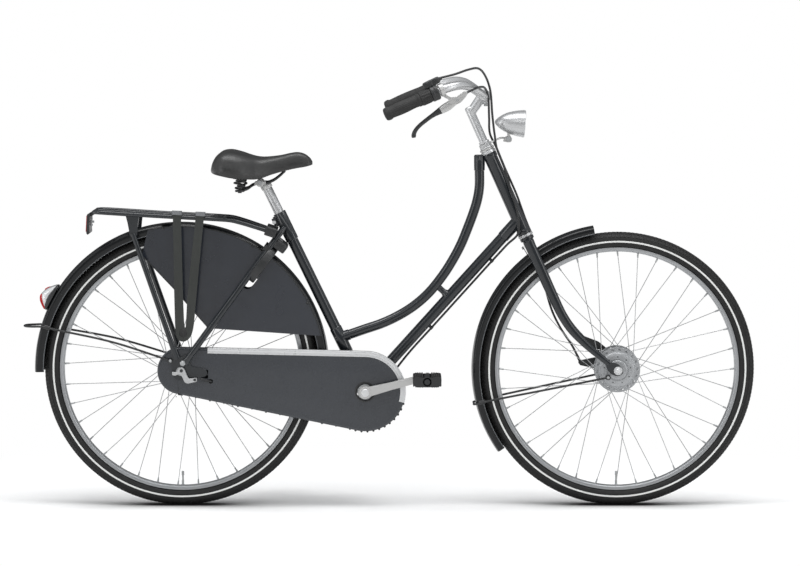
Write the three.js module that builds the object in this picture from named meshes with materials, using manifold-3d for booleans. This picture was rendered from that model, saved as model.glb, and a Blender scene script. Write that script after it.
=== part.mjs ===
// A city bike with a low curved top tube, in millimetres, +Z up.
// X runs forward, Y to the rider's left. Places are first given from the rear axle (X)
// and the ground (Z); at the end the bike is moved so that the origin lies on the ground
// under the middle of its box.
import * as THREE from 'three';
import { mergeVertices } from 'three/addons/utils/BufferGeometryUtils.js';
import Module from 'manifold-3d';

const wasm = await Module();
wasm.setup();

// Driving dimensions
const wheelbase = 1134;
const tyreRadius = 358;
const tyreWidth = 47;
const gap = 0.3;
const overrun = 20;
const headAngle = THREE.MathUtils.degToRad(65.8);
const forkRake = 75.3;
const seatAngle = THREE.MathUtils.degToRad(64.15);
const crankAxleX = 478;
const crankAxleZ = 304;
const barHalfWidth = 293;
const rearHubWidth = 120;
const frontHubWidth = 100;
const crankLength = 165;
const crankAngle = THREE.MathUtils.degToRad(14.3);
const weldShare = 1e-7;

// Finishes
const finish = (color, roughness, metalness) => () =>
  new THREE.MeshStandardMaterial({ color, roughness, metalness });
const paint = finish('#2d3338', 0.3, 0.2);
const casePlastic = finish('#47494d', 0.35, 0);
const guardVinyl = finish('#343846', 0.35, 0);
const fenderPaint = finish('#3a3d40', 0.35, 0.1);
const rubber = finish('#2b2b2b', 0.85, 0);
const blackPlastic = finish('#242526', 0.5, 0);
const strapRubber = finish('#37372f', 0.7, 0);
const saddleVinyl = finish('#4a4a4a', 0.75, 0);
const alloy = finish('#c8c8c8', 0.35, 0.9);
const chrome = finish('#dcdcdc', 0.12, 1);
const darkSteel = finish('#3b3b3b', 0.45, 0.8);
const clearLens = finish('#e8eef2', 0.08, 0);
const redLens = finish('#9c1418', 0.2, 0);

// Helpers that turn three.js shapes into closed solids
const bike = new THREE.Group();
const V = (x, y, z) => new THREE.Vector3(x, y, z);
const up = V(0, 1, 0);

function solid(geometry) {
  const bare = geometry.index ? geometry.toNonIndexed() : geometry.clone();
  bare.deleteAttribute('normal');
  bare.deleteAttribute('uv');
  bare.computeBoundingSphere();
  const merged = mergeVertices(bare, weldShare * wheelbase);
  const place = merged.attributes.position.array;
  const corners = merged.index.array;
  const kept = [];
  let volume = 0;
  for (let i = 0; i < corners.length; i += 3) {
    const [a, b, c] = [corners[i], corners[i + 1], corners[i + 2]];
    if (a === b || b === c || a === c) continue;
    kept.push(a, b, c);
    const p = V().fromArray(place, 3 * a);
    const q = V().fromArray(place, 3 * b);
    const r = V().fromArray(place, 3 * c);
    volume += p.dot(q.cross(r));
  }
  if (volume < 0) {
    for (let i = 0; i < kept.length; i += 3) [kept[i], kept[i + 1]] = [kept[i + 1], kept[i]];
  }
  return new wasm.Manifold(new wasm.Mesh({
    numProp: 3,
    vertProperties: Float32Array.from(place),
    triVerts: Uint32Array.from(kept),
  }));
}

const join = (first, ...others) => others.reduce((sum, next) => sum.add(next), first);
const cut = (first, ...others) => others.reduce((sum, next) => sum.subtract(next), first);

function add(name, body, material) {
  const result = body.getMesh();
  const geometry = new THREE.BufferGeometry();
  geometry.setAttribute('position', new THREE.BufferAttribute(result.vertProperties.slice(), 3));
  geometry.setIndex(new THREE.BufferAttribute(result.triVerts.slice(), 1));
  geometry.computeVertexNormals();
  const mesh = new THREE.Mesh(geometry, material());
  mesh.name = name;
  bike.add(mesh);
  return mesh;
}

// A straight bar from a to b
function rod(a, b, radius, sides = 12, endRadius = radius) {
  const way = b.clone().sub(a);
  const geometry = new THREE.CylinderGeometry(endRadius, radius, way.length(), sides);
  geometry.applyQuaternion(new THREE.Quaternion().setFromUnitVectors(up, way.clone().normalize()));
  const middle = a.clone().add(b).multiplyScalar(0.5);
  geometry.translate(middle.x, middle.y, middle.z);
  return solid(geometry);
}

const across = (x, z, low, high, radius, sides = 12) => rod(V(x, low, z), V(x, high, z), radius, sides);

// A bent tube through points
function pipe(points, radius, sides, steps, tension = 0.5) {
  const ring = [];
  for (let i = 0; i < sides; i += 1) {
    const turn = (2 * Math.PI * (i + 0.5)) / sides;
    ring.push(new THREE.Vector2(radius * Math.cos(turn), radius * Math.sin(turn)));
  }
  const path = new THREE.CatmullRomCurve3(points, false, 'centripetal', tension);
  return solid(new THREE.ExtrudeGeometry(new THREE.Shape(ring), { steps, extrudePath: path,
    bevelEnabled: false }));
}

// A flat plate: its outline is drawn in X and Z, its thickness runs along Y
function plate(outline, low, high, holes = []) {
  const shape = new THREE.Shape(outline.map(([x, z]) => new THREE.Vector2(x, z)));
  holes.forEach((hole) => shape.holes.push(new THREE.Path(hole.map(([x, z]) => new THREE.Vector2(x, z)))));
  const geometry = new THREE.ExtrudeGeometry(shape, { depth: high - low, bevelEnabled: false, steps: 1 });
  geometry.rotateX(Math.PI / 2);
  geometry.translate(0, high, 0);
  return solid(geometry);
}

// A turned body: the profile holds [radius, height], the height runs along the given way
function turned(profile, sides, base = V(0, 0, 0), way = up) {
  const geometry = new THREE.LatheGeometry(profile.map(([r, h]) => new THREE.Vector2(r, h)), sides);
  geometry.applyQuaternion(new THREE.Quaternion().setFromUnitVectors(up, way.clone().normalize()));
  geometry.translate(base.x, base.y, base.z);
  return solid(geometry);
}

const sleeve = (inner, outer, low, high) => [[inner, low], [outer, low], [outer, high], [inner, high],
  [inner, low]];

// A skin through rings of points, closed at both ends
function loft(rings) {
  const count = rings[0].length;
  const points = rings.flat();
  const corners = [];
  for (let i = 0; i + 1 < rings.length; i += 1) {
    for (let j = 0; j < count; j += 1) {
      const k = (j + 1) % count;
      const [a, b, c, d] = [i * count + j, i * count + k, (i + 1) * count + j, (i + 1) * count + k];
      corners.push(a, b, d, a, d, c);
    }
  }
  const cap = (start, flip) => {
    const middle = V(0, 0, 0);
    for (let j = 0; j < count; j += 1) middle.add(points[start + j]);
    points.push(middle.divideScalar(count));
    for (let j = 0; j < count; j += 1) {
      const pair = [start + j, start + ((j + 1) % count)];
      if (flip) pair.reverse();
      corners.push(points.length - 1, ...pair);
    }
  };
  cap(0, true);
  cap((rings.length - 1) * count, false);
  const geometry = new THREE.BufferGeometry().setFromPoints(points);
  geometry.setIndex(corners);
  return solid(geometry);
}

// An oval ring of points round a centre
function oval(centre, wide, sideWay, tall, tallWay, sides) {
  const ring = [];
  for (let i = 0; i < sides; i += 1) {
    const turn = (2 * Math.PI * (i + 0.5)) / sides;
    ring.push(centre.clone().addScaledVector(sideWay, wide * Math.cos(turn)).addScaledVector(tallWay,
      tall * Math.sin(turn)));
  }
  return ring;
}

// Points of an arc in X and Z, angles in degrees
function arc(x, z, radius, from, to, steps) {
  const points = [];
  for (let i = 0; i <= steps; i += 1) {
    const turn = THREE.MathUtils.degToRad(from + ((to - from) * i) / steps);
    points.push([x + radius * Math.cos(turn), z + radius * Math.sin(turn)]);
  }
  return points;
}

const disc = (x, z, radius, sides = 12) => arc(x, z, radius, 0, 360 * (1 - 1 / sides), sides - 1);

// The outline of a belt round two discs, front disc first
function belt(back, front, grow, backSteps = 7, frontSteps = 11) {
  const [dx, dz] = [front.x - back.x, front.z - back.z];
  const reach = Math.hypot(dx, dz);
  const slope = THREE.MathUtils.radToDeg(Math.atan2(dz, dx));
  const lean = THREE.MathUtils.radToDeg(Math.acos((front.radius - back.radius) / reach));
  const open = 180 - lean;
  return [
    ...arc(front.x, front.z, front.radius + grow, slope - open, slope + open, frontSteps),
    ...arc(back.x, back.z, back.radius + grow, slope + open, slope + 360 - open, backSteps),
  ];
}

// A bent section swept round an axle, angles in degrees; the section holds [across, radius]
function hoop(axleX, axleZ, section, from, to, steps) {
  class Sweep extends THREE.Curve {
    getPoint(t, target = V()) {
      const turn = THREE.MathUtils.degToRad(from + (to - from) * t);
      return target.set(axleX + hoopRadius * Math.cos(turn), 0, axleZ + hoopRadius * Math.sin(turn));
    }
  }
  const hoopRadius = section.reduce((sum, [, r]) => sum + r, 0) / section.length;
  const shape = new THREE.Shape(section.map(([y, r]) => new THREE.Vector2(-y, r - hoopRadius)));
  return solid(new THREE.ExtrudeGeometry(shape, { steps, extrudePath: new Sweep(), bevelEnabled: false }));
}

const point = ([x, z], y) => V(x, y, z);
const sides2 = [-1, 1];
const sideName = (side) => (side < 0 ? 'right' : 'left');

// Steering axis: s runs up the head tube from the point nearest to the front axle, f forward
const headUp = V(-Math.cos(headAngle), 0, Math.sin(headAngle));
const headForward = V(Math.sin(headAngle), 0, Math.cos(headAngle));
const rearAxle = V(0, 0, tyreRadius);
const frontAxle = V(wheelbase, 0, tyreRadius);
const headFoot = frontAxle.clone().addScaledVector(headForward, -forkRake);
const head = (s, f = 0, y = 0) => headFoot.clone().addScaledVector(headUp, s).addScaledVector(headForward,
  f).add(V(0, y, 0));
const crankAxle = V(crankAxleX, 0, crankAxleZ);

// Frame tubes
const headTubeRadius = 17.5;
const headTubeBore = 14.2;
const headTubeLow = 420;
const headTubeHigh = 650;
const headCollar = 12;
const headCollarRadius = 19;
const downTubeRadius = 14.3;
const downTubeMeet = 460;
const topTubeRadius = 12.7;
const topSleeveRadius = 14.2;
const seatTubeRadius = 14.3;
const seatTubeBore = 12.9;
const seatTubeLength = 522;
const shellRadius = 20;
const shellBore = 17;
const shellHalf = 34;
const strutRadius = 8;
const strutAt = 326;
const strutLength = 50;

const tubeProfile = [
  [headTubeBore, headTubeLow], [headCollarRadius, headTubeLow],
  [headCollarRadius, headTubeLow + headCollar], [headTubeRadius, headTubeLow + headCollar + 2 * gap],
  [headTubeRadius, headTubeHigh - headCollar - 2 * gap], [headCollarRadius, headTubeHigh - headCollar],
  [headCollarRadius, headTubeHigh], [headTubeBore, headTubeHigh], [headTubeBore, headTubeLow],
];
const headTube = turned(tubeProfile, 14, headFoot, headUp);
const headKeepOut = rod(head(headTubeLow), head(headTubeHigh), headTubeRadius + gap, 14);
const cupRadius = 20;
const collarKeepOut = [rod(head(headTubeLow - overrun), head(headTubeLow + headCollar + 3 * gap),
  headCollarRadius + gap, 14),
  rod(head(headTubeHigh - headCollar - 3 * gap), head(headTubeHigh - gap), headCollarRadius + gap, 14),
  rod(head(headTubeHigh - gap), head(headTubeHigh + overrun), cupRadius + gap, 14)];
add('head_tube', headTube, paint);

// The curved top tube leaves the head tube almost upright and sweeps down to the seat tube
const topTubeRoute = [
  [774.5, 916], [774.5, 877], [774.3, 831], [768.5, 796], [759, 765], [745, 727], [727, 683],
  [706, 643], [680, 602], [643, 556], [603, 521], [561, 495], [520, 476], [476, 461], [440, 448.5], [414,
    440],
];
const topTubePath = (radius) => pipe(topTubeRoute.map((p) => point(p, 0)), radius, 10, 18);
const seatTop = crankAxle.clone().add(V(-Math.cos(seatAngle), 0,
  Math.sin(seatAngle)).multiplyScalar(seatTubeLength));
const seatUp = V(-Math.cos(seatAngle), 0, Math.sin(seatAngle));
const seat = (t, f = 0, y = 0) => crankAxle.clone().addScaledVector(seatUp, t)
  .addScaledVector(V(Math.sin(seatAngle), 0, Math.cos(seatAngle)), f).add(V(0, y, 0));
const seatKeepOut = rod(crankAxle, seatTop, seatTubeRadius + gap, 12);
const topSleeveLength = 41;
const topSleeve = rod(point(topTubeRoute[0], 0), point(topTubeRoute[0], 0).add(V(0, 0, -topSleeveLength)),
  topSleeveRadius, 10);
add('top_tube', cut(join(topTubePath(topTubeRadius), topSleeve), headKeepOut, ...collarKeepOut, seatKeepOut),
  paint);

const downWay = head(downTubeMeet).sub(crankAxle).normalize();
const downDrop = V(downWay.z, 0, -downWay.x);
const down = (t, drop = 0, y = 0) => crankAxle.clone().addScaledVector(downWay, t).addScaledVector(downDrop,
  drop).add(V(0, y, 0));
const shellKeepOut = across(crankAxleX, crankAxleZ, -shellHalf - overrun, shellHalf + overrun,
  shellRadius + gap, 16);
const cableDrop = 20.4;
const cableRadius = 2.5;
const clipWidth = 10;
const clipPlaces = [235, 470];
const clipLugs = clipPlaces.map((t) => rod(down(t), down(t, cableDrop - cableRadius - gap), clipWidth / 2,
  8));
const strut = rod(down(strutAt), down(strutAt, -strutLength), strutRadius, 12);
add('down_tube', cut(join(rod(crankAxle, head(downTubeMeet), downTubeRadius, 12), strut, ...clipLugs),
  headKeepOut, ...collarKeepOut, topTubePath(topTubeRadius + gap), seatKeepOut, shellKeepOut), paint);

// Seat tube with its lug, the crank shell and the binder bolt ears
const seatLugRadius = 17;
const seatLugLength = 34;
const earHalf = 9;
const binderRadius = 3.4;
const postDepth = 150;
const postDrop = 38;
const shell = across(crankAxleX, crankAxleZ, -shellHalf, shellHalf, shellRadius, 16);
const seatLug = rod(seat(seatTubeLength - seatLugLength), seatTop, seatLugRadius, 12);
const ears = rod(seat(seatTubeLength - seatLugLength * 0.7, -seatTubeRadius), seat(seatTubeLength - earHalf,
  -seatTubeRadius), earHalf, 10);
const binderZ = seat(seatTubeLength - seatLugLength * 0.5, -seatLugRadius - binderRadius - 2);
const binder = across(binderZ.x, binderZ.z, -earHalf - 4, earHalf + 4, binderRadius, 10);
const shellBoreCut = across(crankAxleX, crankAxleZ, -shellHalf - overrun, shellHalf + overrun, shellBore, 16);
add('seat_tube', cut(join(rod(crankAxle, seatTop, seatTubeRadius, 12), shell, seatLug, ears, binder),
  shellBoreCut,
  rod(seat(seatTubeLength - postDepth - postDrop - overrun), seat(seatTubeLength + overrun), seatTubeBore,
    12)), paint);

// Chain stays: the right one runs inside the chain case and turns out at the rear
const stayRadius = 8.5;
const dropoutInner = rearHubWidth / 2;
const dropoutThick = 4.5;
const stayEndX = 46;
const rightStay = [[458, -24, 304], [400, -29, 309], [360, -33.5, 314], [320, -39.6, 318.5], [280, -41.2,
  323.5], [180, -41.5, 336], [100, -43.5, 346],
  [75, -46, 349], [stayEndX, -52, 353]];
const leftStay = [[458, 24, 304], [400, 29, 309], [350, 35, 316], [300, 38, 321], [180, 44, 336], [100, 51,
  346],
  [stayEndX, 56, 353]];
const dropoutKeepOut = sides2.map((side) => plate([[-60, 300], [120, 300], [120, 420], [-60, 420]],
  side < 0 ? -dropoutInner - 2 * dropoutThick - overrun : dropoutInner - gap,
  side < 0 ? -dropoutInner + gap : dropoutInner + 2 * dropoutThick + overrun));
const bridgeX = 428;
const stayBridge = across(bridgeX, 306, -26, 26, 6, 8);
add('chain_stays', cut(join(...[rightStay, leftStay].map((route) =>
  pipe(route.map(([x, y, z]) => V(x, y, z)), stayRadius, 8,
    9)), stayBridge), shellKeepOut, ...dropoutKeepOut), paint);

// Seat stays with the dropouts and the bridge above the wheel
const seatStayRadius = 8;
const seatStayFoot = V(8, 0, 378);
const seatStayHead = V(262, 0, 764);
const seatStaySpread = [[0, 68.5], [0.12, 68.3], [0.45, 56], [0.8, 41.5], [1, 21.5]];
const axleHole = 5.4;
const bridgeShare = 0.7936;
function seatStay(side) {
  const route = seatStaySpread.map(([share, y]) => seatStayFoot.clone().lerp(seatStayHead, share).add(V(0,
    side * y, 0)));
  return pipe(route, seatStayRadius, 8, 9);
}
const dropoutOutline = [[-22, 352], [-14, 338], [12, 336], [44, 342], [66, 346], [66, 362], [44, 368], [28,
  372],
  [24, 396], [14, 402], [2, 396], [-16, 398], [-22, 388]];
function dropout(side) {
  const low = side < 0 ? -dropoutInner - dropoutThick : dropoutInner;
  return plate(dropoutOutline, low, low + dropoutThick, [disc(0, tyreRadius, axleHole, 12)]);
}
const bridgeAt = seatStayFoot.clone().lerp(seatStayHead, bridgeShare);
const lugKeepOut = rod(seat(300), seatTop, seatLugRadius + gap, 12);
add('seat_stays', cut(join(...sides2.flatMap((side) => [seatStay(side), dropout(side)]),
  across(bridgeAt.x, bridgeAt.z, -41, 41, 5.5, 8)), lugKeepOut, seatKeepOut,
rod(seat(seatTubeLength - seatLugLength * 0.7 - gap, -seatTubeRadius), seat(seatTubeLength, -seatTubeRadius),
  earHalf + gap, 10)), paint);

// Headset and crank bearing unit
const cupHeight = 8.6;
const steererRadius = 12.7;
const cupBore = steererRadius + 2.5 * gap;
add('headset_lower_cup', turned([[cupBore, -cupHeight], [cupRadius - 3, -cupHeight], [cupRadius,
  -cupHeight / 2], [cupRadius, -gap],
  [cupBore, -gap], [cupBore, -cupHeight]], 14, head(headTubeLow), headUp), alloy);
add('headset_upper_cup', turned([[cupBore, gap], [cupRadius, gap], [cupRadius, cupHeight / 2],
  [cupRadius - 3, cupHeight + 2],
  [cupBore, cupHeight + 2], [cupBore, gap]], 14, head(headTubeHigh), headUp), alloy);

const spindleRadius = 8.5;
const spindleHalf = 77.5;
const unitRadius = shellBore - gap;
const unitFlange = 19.5;
const unitFlangeThick = 2.7;
add('bottom_bracket_unit', turned([
  [spindleRadius + gap, -shellHalf - gap - unitFlangeThick], [unitFlange, -shellHalf - gap - unitFlangeThick],
  [unitFlange, -shellHalf - gap], [unitRadius, -shellHalf - gap], [unitRadius, shellHalf + gap],
  [unitFlange, shellHalf + gap], [unitFlange, shellHalf + gap + unitFlangeThick],
  [spindleRadius + gap, shellHalf + gap + unitFlangeThick], [spindleRadius + gap,
    -shellHalf - gap - unitFlangeThick],
], 16, crankAxle), darkSteel);

// Toothed wheels: a tooth is cut to its root at a quarter of each pitch
function toothed(x, z, teeth, pitch, tall, low, high, hole) {
  const outline = [];
  const half = tall / 2;
  for (let i = 0; i < teeth; i += 1) {
    [[-0.5, -half], [0, half]].forEach(([share, rise]) => {
      const turn = (2 * Math.PI * (i + share)) / teeth;
      outline.push([x + (pitch + rise) * Math.cos(turn), z + (pitch + rise) * Math.sin(turn)]);
    });
  }
  return plate(outline, low, high, [hole]);
}
const chainPitch = 12.7;
const ringTeeth = 38;
const sprocketTeeth = 18;
const ringPitch = (chainPitch * ringTeeth) / (2 * Math.PI);
const sprocketPitch = (chainPitch * sprocketTeeth) / (2 * Math.PI);
const toothTall = 6;
const chainLine = 43.5;
const toothHalf = 1.4;
const ringHole = 58;
const spiderArms = 5;
const spiderWidth = 15;
const spiderHubRadius = 20;
const crankBossInner = 62;
const ring = toothed(crankAxleX, crankAxleZ, ringTeeth, ringPitch, toothTall, -chainLine - toothHalf,
  -chainLine + toothHalf,
  disc(crankAxleX, crankAxleZ, ringHole, 15));
const spider = [];
for (let i = 0; i < spiderArms; i += 1) {
  const turn = crankAngle + (2 * Math.PI * i) / spiderArms;
  const [cx, cz] = [Math.cos(turn), Math.sin(turn)];
  const corner = (r, w) => [crankAxleX + r * cx - w * cz, crankAxleZ + r * cz + w * cx];
  const reach = ringHole + toothTall;
  spider.push(plate([corner(0, -spiderWidth / 2), corner(reach, -spiderWidth / 2), corner(reach,
    spiderWidth / 2),
    corner(0, spiderWidth / 2)], -chainLine - 2 * toothHalf - 2, -chainLine - toothHalf + gap));
}
const spiderHub = across(crankAxleX, crankAxleZ, -crankBossInner - gap, -chainLine + toothHalf,
  spiderHubRadius, 12);
const chainring = cut(join(ring, ...spider, spiderHub),
  across(crankAxleX, crankAxleZ, -crankBossInner - overrun, overrun, spindleRadius + gap));
const driverRadius = 12;
add('rear_sprocket', toothed(0, tyreRadius, sprocketTeeth, sprocketPitch, toothTall, -chainLine - toothHalf,
  -chainLine + toothHalf,
  disc(0, tyreRadius, driverRadius + 2 * gap, 16)), darkSteel);

// Chain: two rows of side plates with a pin every sixth link on the straight runs
const chainTall = 8.4;
const chainInner = 2.1;
const chainPlate = 1.2;
const pinRadius = 1.8;
const backWheel = { x: 0, z: tyreRadius, radius: sprocketPitch };
const frontWheel = { x: crankAxleX, z: crankAxleZ, radius: ringPitch };
const chainRow = (middle) => plate(belt(backWheel, frontWheel, chainTall / 2), middle - chainPlate / 2,
  middle + chainPlate / 2,
  [belt(backWheel, frontWheel, -chainTall / 2)]);
const chainSlope = Math.atan2(crankAxleZ - tyreRadius, crankAxleX);
const chainLean = Math.acos((ringPitch - sprocketPitch) / Math.hypot(crankAxleX, crankAxleZ - tyreRadius));
const pins = [];
sides2.forEach((run) => {
  const turn = chainSlope + run * (Math.PI - chainLean);
  const from = V(sprocketPitch * Math.cos(turn), 0, tyreRadius + sprocketPitch * Math.sin(turn));
  const to = V(crankAxleX + ringPitch * Math.cos(turn), 0, crankAxleZ + ringPitch * Math.sin(turn));
  const count = Math.floor(from.distanceTo(to) / (6 * chainPitch));
  for (let i = 1; i <= count; i += 1) {
    const at = from.clone().lerp(to, i / (count + 1));
    pins.push(across(at.x, at.z, -chainLine - chainInner - chainPlate, -chainLine + chainInner + chainPlate,
      pinRadius, 4));
  }
});
add('chain', join(chainRow(-chainLine - chainInner - chainPlate / 2),
  chainRow(-chainLine + chainInner + chainPlate / 2), ...pins), darkSteel);

// Chain case: an outer cover with the rim, an inner cover and a bright trim along the top
const caseBack = { x: 0, z: tyreRadius, radius: 61 };
const caseFront = { x: crankAxleX, z: crankAxleZ, radius: 104 };
const caseInner = 30;
const caseOuter = 59.2;
const caseWall = 1.5;
const caseSeam = 38;
const bossHole = 23;
const cableHole = { x: 77.5, z: 331.5, radius: 6 };
const staySlot = [[stayEndX - 4, 343], [71, 339], [71, 361], [stayEndX - 4, 365]];
const outline = (grow) => belt(caseBack, caseFront, grow, 10, 16);
const outerFace = plate(outline(0), -caseOuter, -caseOuter + caseWall,
  [disc(crankAxleX, crankAxleZ, bossHole, 18), disc(0, tyreRadius, 12, 12), disc(cableHole.x, cableHole.z,
    cableHole.radius, 8), staySlot]);
add('chaincase_outer', join(outerFace, plate(outline(0), -caseOuter, -caseSeam, [outline(-caseWall)])),
  casePlastic);
const frontSlot = [[266, 311], [caseFront.x, 290], [caseFront.x, 322], [266, 338]];
const innerFace = plate(outline(0), -caseInner - caseWall, -caseInner,
  [disc(0, tyreRadius, 38, 14), [[94, 325], [124, 325], [124, 336], [94, 336]]]);
const innerCut = join(across(crankAxleX, crankAxleZ, -caseInner - overrun, -caseInner + overrun,
  bossHole + 2, 18),
  plate(frontSlot, -caseInner - overrun, -caseInner + overrun));
add('chaincase_inner', join(cut(innerFace, innerCut),
  plate(outline(0), -caseSeam + gap, -caseInner, [outline(-caseWall)])), casePlastic);

const trimOut = 1.8;
const trimLip = 13;
const trimStartX = 70;
const trimEndAngle = -16;
function trimBand(inner) {
  const slope = THREE.MathUtils.radToDeg(Math.atan2(caseFront.z - caseBack.z, caseFront.x - caseBack.x));
  const lean = THREE.MathUtils.radToDeg(Math.acos((caseFront.radius - caseBack.radius) / caseBack.radius
    * (caseBack.radius / Math.hypot(caseFront.x - caseBack.x, caseFront.z - caseBack.z))));
  const open = 180 - lean;
  const start = (grow) => {
    const turn = THREE.MathUtils.degToRad(slope + open);
    const from = [caseBack.x + (caseBack.radius + grow) * Math.cos(turn),
      caseBack.z + (caseBack.radius + grow) * Math.sin(turn)];
    const to = [caseFront.x + (caseFront.radius + grow) * Math.cos(turn),
      caseFront.z + (caseFront.radius + grow) * Math.sin(turn)];
    const share = (trimStartX - from[0]) / (to[0] - from[0]);
    return [trimStartX, from[1] + share * (to[1] - from[1])];
  };
  return [
    ...arc(caseFront.x, caseFront.z, caseFront.radius + trimOut, trimEndAngle, slope + open,
      14), start(trimOut),
    start(inner), ...arc(caseFront.x, caseFront.z, caseFront.radius + inner, slope + open, trimEndAngle, 14),
  ];
}
add('chaincase_trim', join(plate(trimBand(gap), -caseOuter - gap - 1, -46),
  plate(trimBand(-trimLip), -caseOuter - gap - 1, -caseOuter - gap)), alloy);

// Cranks with their pedal axles
const crankBossOuter = 84;
const crankBossRadius = 16;
const crankArmLow = 70;
const crankArmHigh = 82;
const pedalAxleRadius = 6;
const pedalInner = 92;
const pedalLength = 96;
const pedalPoint = (side) => [crankAxleX - side * crankLength * Math.cos(crankAngle),
  crankAxleZ - side * crankLength * Math.sin(crankAngle)];
function crank(side) {
  const [px, pz] = pedalPoint(side);
  const flip = side < 0 ? 0 : 180;
  const lean = THREE.MathUtils.radToDeg(crankAngle) + flip;
  const arm = plate([...arc(crankAxleX, crankAxleZ, crankBossRadius, lean + 90, lean + 270, 8),
    ...arc(px, pz, crankBossRadius * 0.72, lean - 90, lean + 90, 8)],
  side < 0 ? -crankArmHigh : crankArmLow, side < 0 ? -crankArmLow : crankArmHigh);
  const boss = across(crankAxleX, crankAxleZ, side * crankBossInner, side * crankBossOuter, crankBossRadius,
    14);
  const cap = across(crankAxleX, crankAxleZ, side * crankBossOuter, side * (crankBossOuter + 2),
    crankBossRadius * 0.66, 12);
  const axle = across(px, pz, side * crankArmLow, side * (pedalInner + pedalLength - 6), pedalAxleRadius, 10);
  const bore = across(crankAxleX, crankAxleZ, side * (crankBossInner - overrun), side * (spindleHalf + gap),
    spindleRadius + gap);
  const body = join(arm, boss, cap, axle);
  if (side < 0) return join(cut(body, bore), chainring);
  return join(body, across(crankAxleX, crankAxleZ, -spindleHalf, crankBossInner, spindleRadius));
}
sides2.forEach((side) => add(`${sideName(side)}_crank`, crank(side), alloy));

// Block pedals: two ribbed rubber blocks on end plates and a barrel
const blockWide = 27;
const blockTall = 30;
const blockRise = 2.2;
const blockGap = 20;
const ridges = 4;
function pedal(side) {
  const [px, pz] = pedalPoint(side);
  const low = side < 0 ? -pedalInner - pedalLength : pedalInner;
  const blocks = [-1, 1].map((way) => {
    const outlineYZ = [];
    for (let i = 0; i < ridges; i += 1) {
      const y = (share) => low + (pedalLength * (i + share)) / ridges;
      outlineYZ.push([y(0.06), blockTall / 2 - blockRise], [y(0.2), blockTall / 2], [y(0.8), blockTall / 2],
        [y(0.94), blockTall / 2 - blockRise]);
    }
    const lower = outlineYZ.map(([y, z]) => [y, -z]).reverse();
    const shape = new THREE.Shape([...outlineYZ, ...lower].map(([y, z]) => new THREE.Vector2(y, z)));
    const geometry = new THREE.ExtrudeGeometry(shape, { depth: blockWide, bevelEnabled: false, steps: 1 });
    geometry.rotateX(Math.PI / 2);
    geometry.rotateZ(Math.PI / 2);
    geometry.translate(px + (way > 0 ? blockGap / 2 : -blockGap / 2 - blockWide), 0, pz);
    return solid(geometry);
  });
  const endPlate = (y) => plate([[px - 31, pz - 9], [px + 31, pz - 9], [px + 31, pz + 9], [px - 31, pz + 9]],
    y, y + 4);
  return cut(join(...blocks, endPlate(low), endPlate(low + pedalLength - 4),
    across(px, pz, low, low + pedalLength, 11.2, 10)),
  across(px, pz, low - overrun, low + pedalLength + overrun, pedalAxleRadius + 2 * gap, 10));
}
sides2.forEach((side) => add(`${sideName(side)}_pedal`, pedal(side), blackPlastic));

// Wheels: rim, tyre and a hub laced with crossed spokes
const wheelSides = 40;
const sectionRadius = tyreWidth / 2;
const sectionMiddle = tyreRadius - sectionRadius;
const rimOuter = 318.4;
const rimInner = 303;
const rimHalf = 12.3;
const rimLip = 2.2;
const rimBed = 311;
const rimWell = 306;
const beadHalf = rimHalf - rimLip - gap;
const beadFoot = 3.6;
const spokeRadius = 1.1;
const spokeLap = 1.2;
const spokeCount = 36;
const rimProfile = [
  [rimInner, -5], [rimBed - 2, -rimHalf], [rimOuter, -rimHalf], [rimOuter, -rimHalf + rimLip], [rimWell, 0],
  [rimOuter, rimHalf - rimLip], [rimOuter, rimHalf], [rimBed - 2, rimHalf], [rimInner, 5], [rimInner, -5],
];
const tyreProfile = [[rimBed + 2 * gap, -beadFoot], [rimOuter + 3 * gap, -beadHalf]];
for (let i = 0; i <= 6; i += 1) {
  const turn = THREE.MathUtils.degToRad(-124 + (248 * i) / 6);
  tyreProfile.push([sectionMiddle + sectionRadius * Math.cos(turn), sectionRadius * Math.sin(turn)]);
}
tyreProfile.push([rimOuter + 3 * gap, beadHalf], [rimBed + 2 * gap, beadFoot], [rimBed + 2 * gap, -beadFoot]);

function spokes(axle, flange, phase, cross, holes) {
  const result = [];
  const spokeEnd = rimInner * Math.cos(Math.PI / wheelSides) - gap;
  for (let i = 0; i < spokeCount; i += 1) {
    const side = i % 2 === 0 ? -1 : 1;
    const lead = i % 4 < 2 ? 1 : -1;
    const rimTurn = THREE.MathUtils.degToRad(phase + (360 * i) / spokeCount);
    const hubTurn = rimTurn - lead * THREE.MathUtils.degToRad((720 * cross) / spokeCount);
    const offset = flange[side < 0 ? 0 : 1];
    const a = axle.clone().add(V(holes * Math.cos(hubTurn), offset + lead * spokeLap,
      holes * Math.sin(hubTurn)));
    const b = axle.clone().add(V(spokeEnd * Math.cos(rimTurn), side * 2 + lead * spokeLap,
      spokeEnd * Math.sin(rimTurn)));
    result.push(rod(a, b, spokeRadius, 3));
  }
  return result;
}
const axleRadius = 5;
const axleBore = axleRadius + gap;
const lockAngle = 52.6;
function wheel(name, axle, hubProfile, flange, phase, cross, holes) {
  add(`${name}_tyre`, turned(tyreProfile, wheelSides, axle), rubber);
  add(`${name}_rim`, turned(rimProfile, wheelSides, axle), alloy);
  add(`${name}_hub`, join(turned(hubProfile, 16, axle), ...spokes(axle, flange, phase, cross, holes)), alloy);
}
const frontFlange = 59;
const frontBody = 44;
wheel('front', frontAxle, [
  [axleBore, -41], [14, -41], [27, -36], [frontBody, -34], [frontFlange, -29.5],
  [frontFlange, -24.5], [34, -19], [34, 12], [frontFlange, 17], [frontFlange, 22], [frontBody,
    24], [axleBore, 24], [axleBore, -41],
], [-27, 19.5], 0, 2, 54);
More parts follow.
